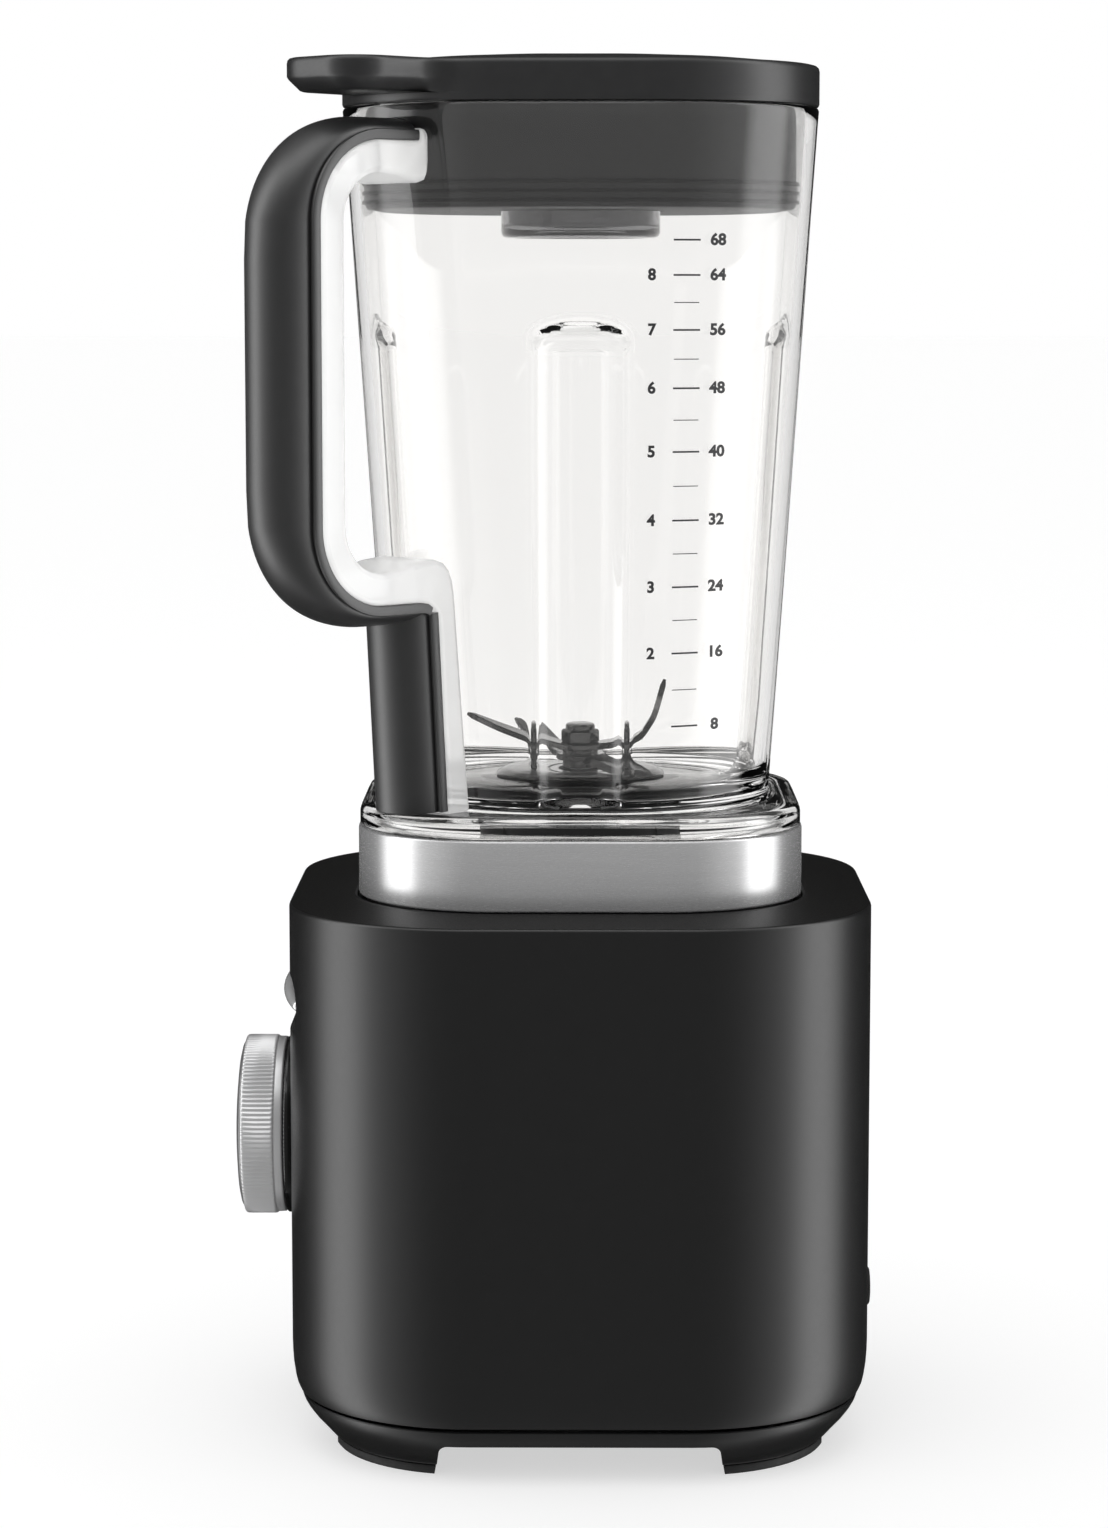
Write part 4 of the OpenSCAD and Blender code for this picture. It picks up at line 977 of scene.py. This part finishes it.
PLUG, PLUG_R = high("lid_plug").y, 46.0
PLUG_LOW = low("lid_plug").z
PLUG_ROUND, PLUG_WALL = 1.4, 2.5
profile = [(PLUG, PLUG_R, LID_LOW - 0.02), (PLUG, PLUG_R, 372), (PLUG, PLUG_R, PLUG_LOW + PLUG_ROUND)]
for a in (22.5, 45, 67.5, 90):
    cut = PLUG_ROUND * (1 - cosd(a))
    profile.append((PLUG - cut, PLUG_R - cut, PLUG_LOW + PLUG_ROUND * (1 - sind(a))))
ring_set = squares(profile)
last = ring_set[-1]
for r, z in ((26.4, PLUG_LOW), (24.6, PLUG_LOW), (24.0, PLUG_LOW + 0.6), (24.0, LID_TOP - 5.02),
             (26.4, LID_TOP - 5.02), (26.4, PLUG_LOW + PLUG_WALL)):
    ring_set.append(circle_like(last, r, z))
for z in (PLUG_LOW + PLUG_WALL, LID_LOW - 0.02):
    ring_set.append(square(PLUG - PLUG_WALL, PLUG_R - PLUG_WALL, z))
build("lid_insert", *loft(ring_set, loop=True), "plug", "lid", "lid_charcoal", ["lid_plug"], sharp=40)

gl = low("lid_gasket").z
profile = [(PLUG + 0.02, PLUG_R, gl + 6.4), (PLUG + 0.02, PLUG_R, gl)]
for i in range(3):
    z = gl + i * 2.6
    profile += [(PLUG + 0.35, PLUG_R + 0.35, z), (PLUG + 0.85, PLUG_R + 0.85, z + 0.15),
                (PLUG + 1, PLUG_R + 1, z + 0.6), (PLUG + 0.85, PLUG_R + 0.85, z + 1.05),
                (PLUG + 0.4, PLUG_R + 0.4, z + 1.2)]
seal = build("lid_seal", *square_shell(profile), ["plug", "seal"], "lid", "rubber_black",
             ["lid_gasket"])
for poly in seal.data.polygons:
    row = poly.index // len(square(PLUG, PLUG_R, 0))
    if row > 1 and (row - 2) % 5 < 4:
        poly.material_index = 1

CUP, cup_low, cup_top = high("cap_cup").x, low("cap_cup").z, high("cap_cup").z
profile = [(0, cup_low + 0.5), (CUP - 5, cup_low + 0.5), (CUP - 4, cup_low), (CUP - 1.6, cup_low),
           (CUP - 0.5, cup_low + 0.5), (CUP, cup_low + 1.6), (CUP, cup_top), (CUP - 2, cup_top),
           (CUP - 2, cup_low + 4.4), (CUP - 2.7, cup_low + 3.0), (CUP - 4.2, cup_low + 2.3),
           (0, cup_low + 2.2)]
build("cap_glass", *lathe(profile, 128), "smoke", "cap", "cap_smoke", ["cap_cup"], sharp=45)
DISC, disc_low, disc_top = high("cap_top").x, low("cap_top").z, high("cap_top").z
profile = [(0, disc_low), (DISC - 0.5, disc_low), (DISC, disc_low + 0.5), (DISC, disc_top - 2.5),
           (DISC - 0.35, disc_top - 1.6), (DISC - 1.3, disc_top - 1.0), (DISC - 3, disc_top - 0.7),
           (14, disc_top - 0.15), (0, disc_top)]
build("cap_disc", *lathe(profile, 128), "lid", "cap", "lid_charcoal", ["cap_top"], sharp=45)

# ------------------------------------------------------------------ camera, floor and light

cam = bpy.data.cameras.new("camera")
cam.lens = 91.4
cam.sensor_width = 36
cam.sensor_fit = "AUTO"
cam_obj = bpy.data.objects.new("camera", cam)
bpy.context.scene.collection.objects.link(cam_obj)
cam_obj.location = (0, -1.150, 0.3356)
cam_obj.rotation_euler = (math.radians(90 - 6.9), 0, math.radians(0.39))
cam.clip_start, cam.clip_end = 0.02, 60
bpy.context.scene.camera = cam_obj
bpy.context.scene.view_settings.view_transform = "Standard"

LIGHT_AT, LIGHT_AIM = Vector((-0.3, -0.5, 2.2)), Vector((0, 0, 0.2))
lamp = bpy.data.lights.new("top_box", "AREA")
lamp.shape = "RECTANGLE"
lamp.size, lamp.size_y = 1.6, 1.6
lamp.energy = 9
lamp_obj = bpy.data.objects.new("top_box", lamp)
bpy.context.scene.collection.objects.link(lamp_obj)
lamp_obj.location = LIGHT_AT
lamp_obj.rotation_euler = (LIGHT_AIM - LIGHT_AT).to_track_quat("-Z", "Y").to_euler()

floor_mat = bpy.data.materials.new("pale_floor")
floor_mat.use_nodes = True
fb = floor_mat.node_tree.nodes["Principled BSDF"]
fb.inputs["Base Color"].default_value = (0.5, 0.5, 0.5, 1)
fb.inputs["Roughness"].default_value = 0.9
fb.inputs["Specular IOR Level"].default_value = 0.1
fb.inputs["Emission Color"].default_value = (1, 1, 1, 1)
fb.inputs["Emission Strength"].default_value = 0.58
mesh = bpy.data.meshes.new("floor")
S = 30.0
mesh.from_pydata([(-S, -S, 0), (S, -S, 0), (S, S, 0), (-S, S, 0)], [], [(0, 1, 2, 3)])
mesh.materials.append(floor_mat)
floor = bpy.data.objects.new("floor", mesh)
bpy.context.scene.collection.objects.link(floor)
floor.visible_glossy = False

# A white room to look at and to be lit by, and a darker studio with two tall side boxes for gloss
world = bpy.data.worlds.new("studio")
bpy.context.scene.world = world
world.use_nodes = True
world.cycles.sampling_method = "NONE"
wt = world.node_tree
wt.nodes.clear()


def wmath(op, a, b=0.0, c=0.0):
    n = wt.nodes.new("ShaderNodeMath")
    n.operation = op
    for k, value in enumerate((a, b, c)):
        if isinstance(value, bpy.types.NodeSocket):
            wt.links.new(value, n.inputs[k])
        else:
            n.inputs[k].default_value = value
    return n.outputs[0]


def ramp(value, a, b, lo=0.0, hi=1.0):
    n = wt.nodes.new("ShaderNodeMapRange")
    n.interpolation_type = "SMOOTHSTEP"
    wt.links.new(value, n.inputs[0])
    for k, v in enumerate((a, b, lo, hi)):
        n.inputs[k + 1].default_value = v
    return n.outputs[0]


way = wt.nodes.new("ShaderNodeTexCoord").outputs["Generated"]
axes = wt.nodes.new("ShaderNodeSeparateXYZ")
wt.links.new(way, axes.inputs[0])
wx, wy, wz = axes.outputs[0], axes.outputs[1], axes.outputs[2]
flat = wmath("SQRT", wmath("ADD", wmath("MULTIPLY", wx, wx), wmath("ADD", wmath("MULTIPLY", wy, wy), 1e-6)))
side = wmath("ABSOLUTE", wmath("DIVIDE", wx, flat))
ahead = wmath("DIVIDE", wy, flat)
tall = wmath("MULTIPLY", ramp(wz, -0.85, -0.6), ramp(wz, 0.9, 0.7))
box = wmath("MULTIPLY", wmath("MULTIPLY", ramp(side, 0.925, 0.992), tall), 2.7)
skirt = wmath("MULTIPLY", wmath("MULTIPLY", ramp(side, 0.45, 0.97), ramp(ahead, 0.25, -0.1)), 0.5)
base_level = ramp(ahead, -0.15, 0.45, 0.22, 0.014)
roof = ramp(wz, 0.45, 1.0, 0.0, 0.45)
studio = wmath("ADD", wmath("ADD", box, skirt), wmath("ADD", base_level, roof))
rays = wt.nodes.new("ShaderNodeLightPath")
behind = wmath("ADD", ramp(ahead, 0.3, 0.985, 0.14, 1.0), wmath("MULTIPLY", box, 0.8))
seen = wmath("MULTIPLY", rays.outputs["Is Transmission Ray"], wmath("SUBTRACT", behind, 1.0))
white = wmath("ADD", wmath("MULTIPLY_ADD", rays.outputs["Is Diffuse Ray"], -0.2, 1.0), seen)
gloss = wmath("MULTIPLY", rays.outputs["Is Glossy Ray"],
              wmath("SUBTRACT", 1.0, rays.outputs["Is Transmission Ray"]))
level = wmath("ADD", wmath("MULTIPLY", studio, gloss),
              wmath("MULTIPLY", white, wmath("SUBTRACT", 1.0, gloss)))
back = wt.nodes.new("ShaderNodeBackground")
back.inputs["Color"].default_value = (1, 1, 1, 1)
out = wt.nodes.new("ShaderNodeOutputWorld")
wt.links.new(level, back.inputs["Strength"])
wt.links.new(back.outputs["Background"], out.inputs["Surface"])
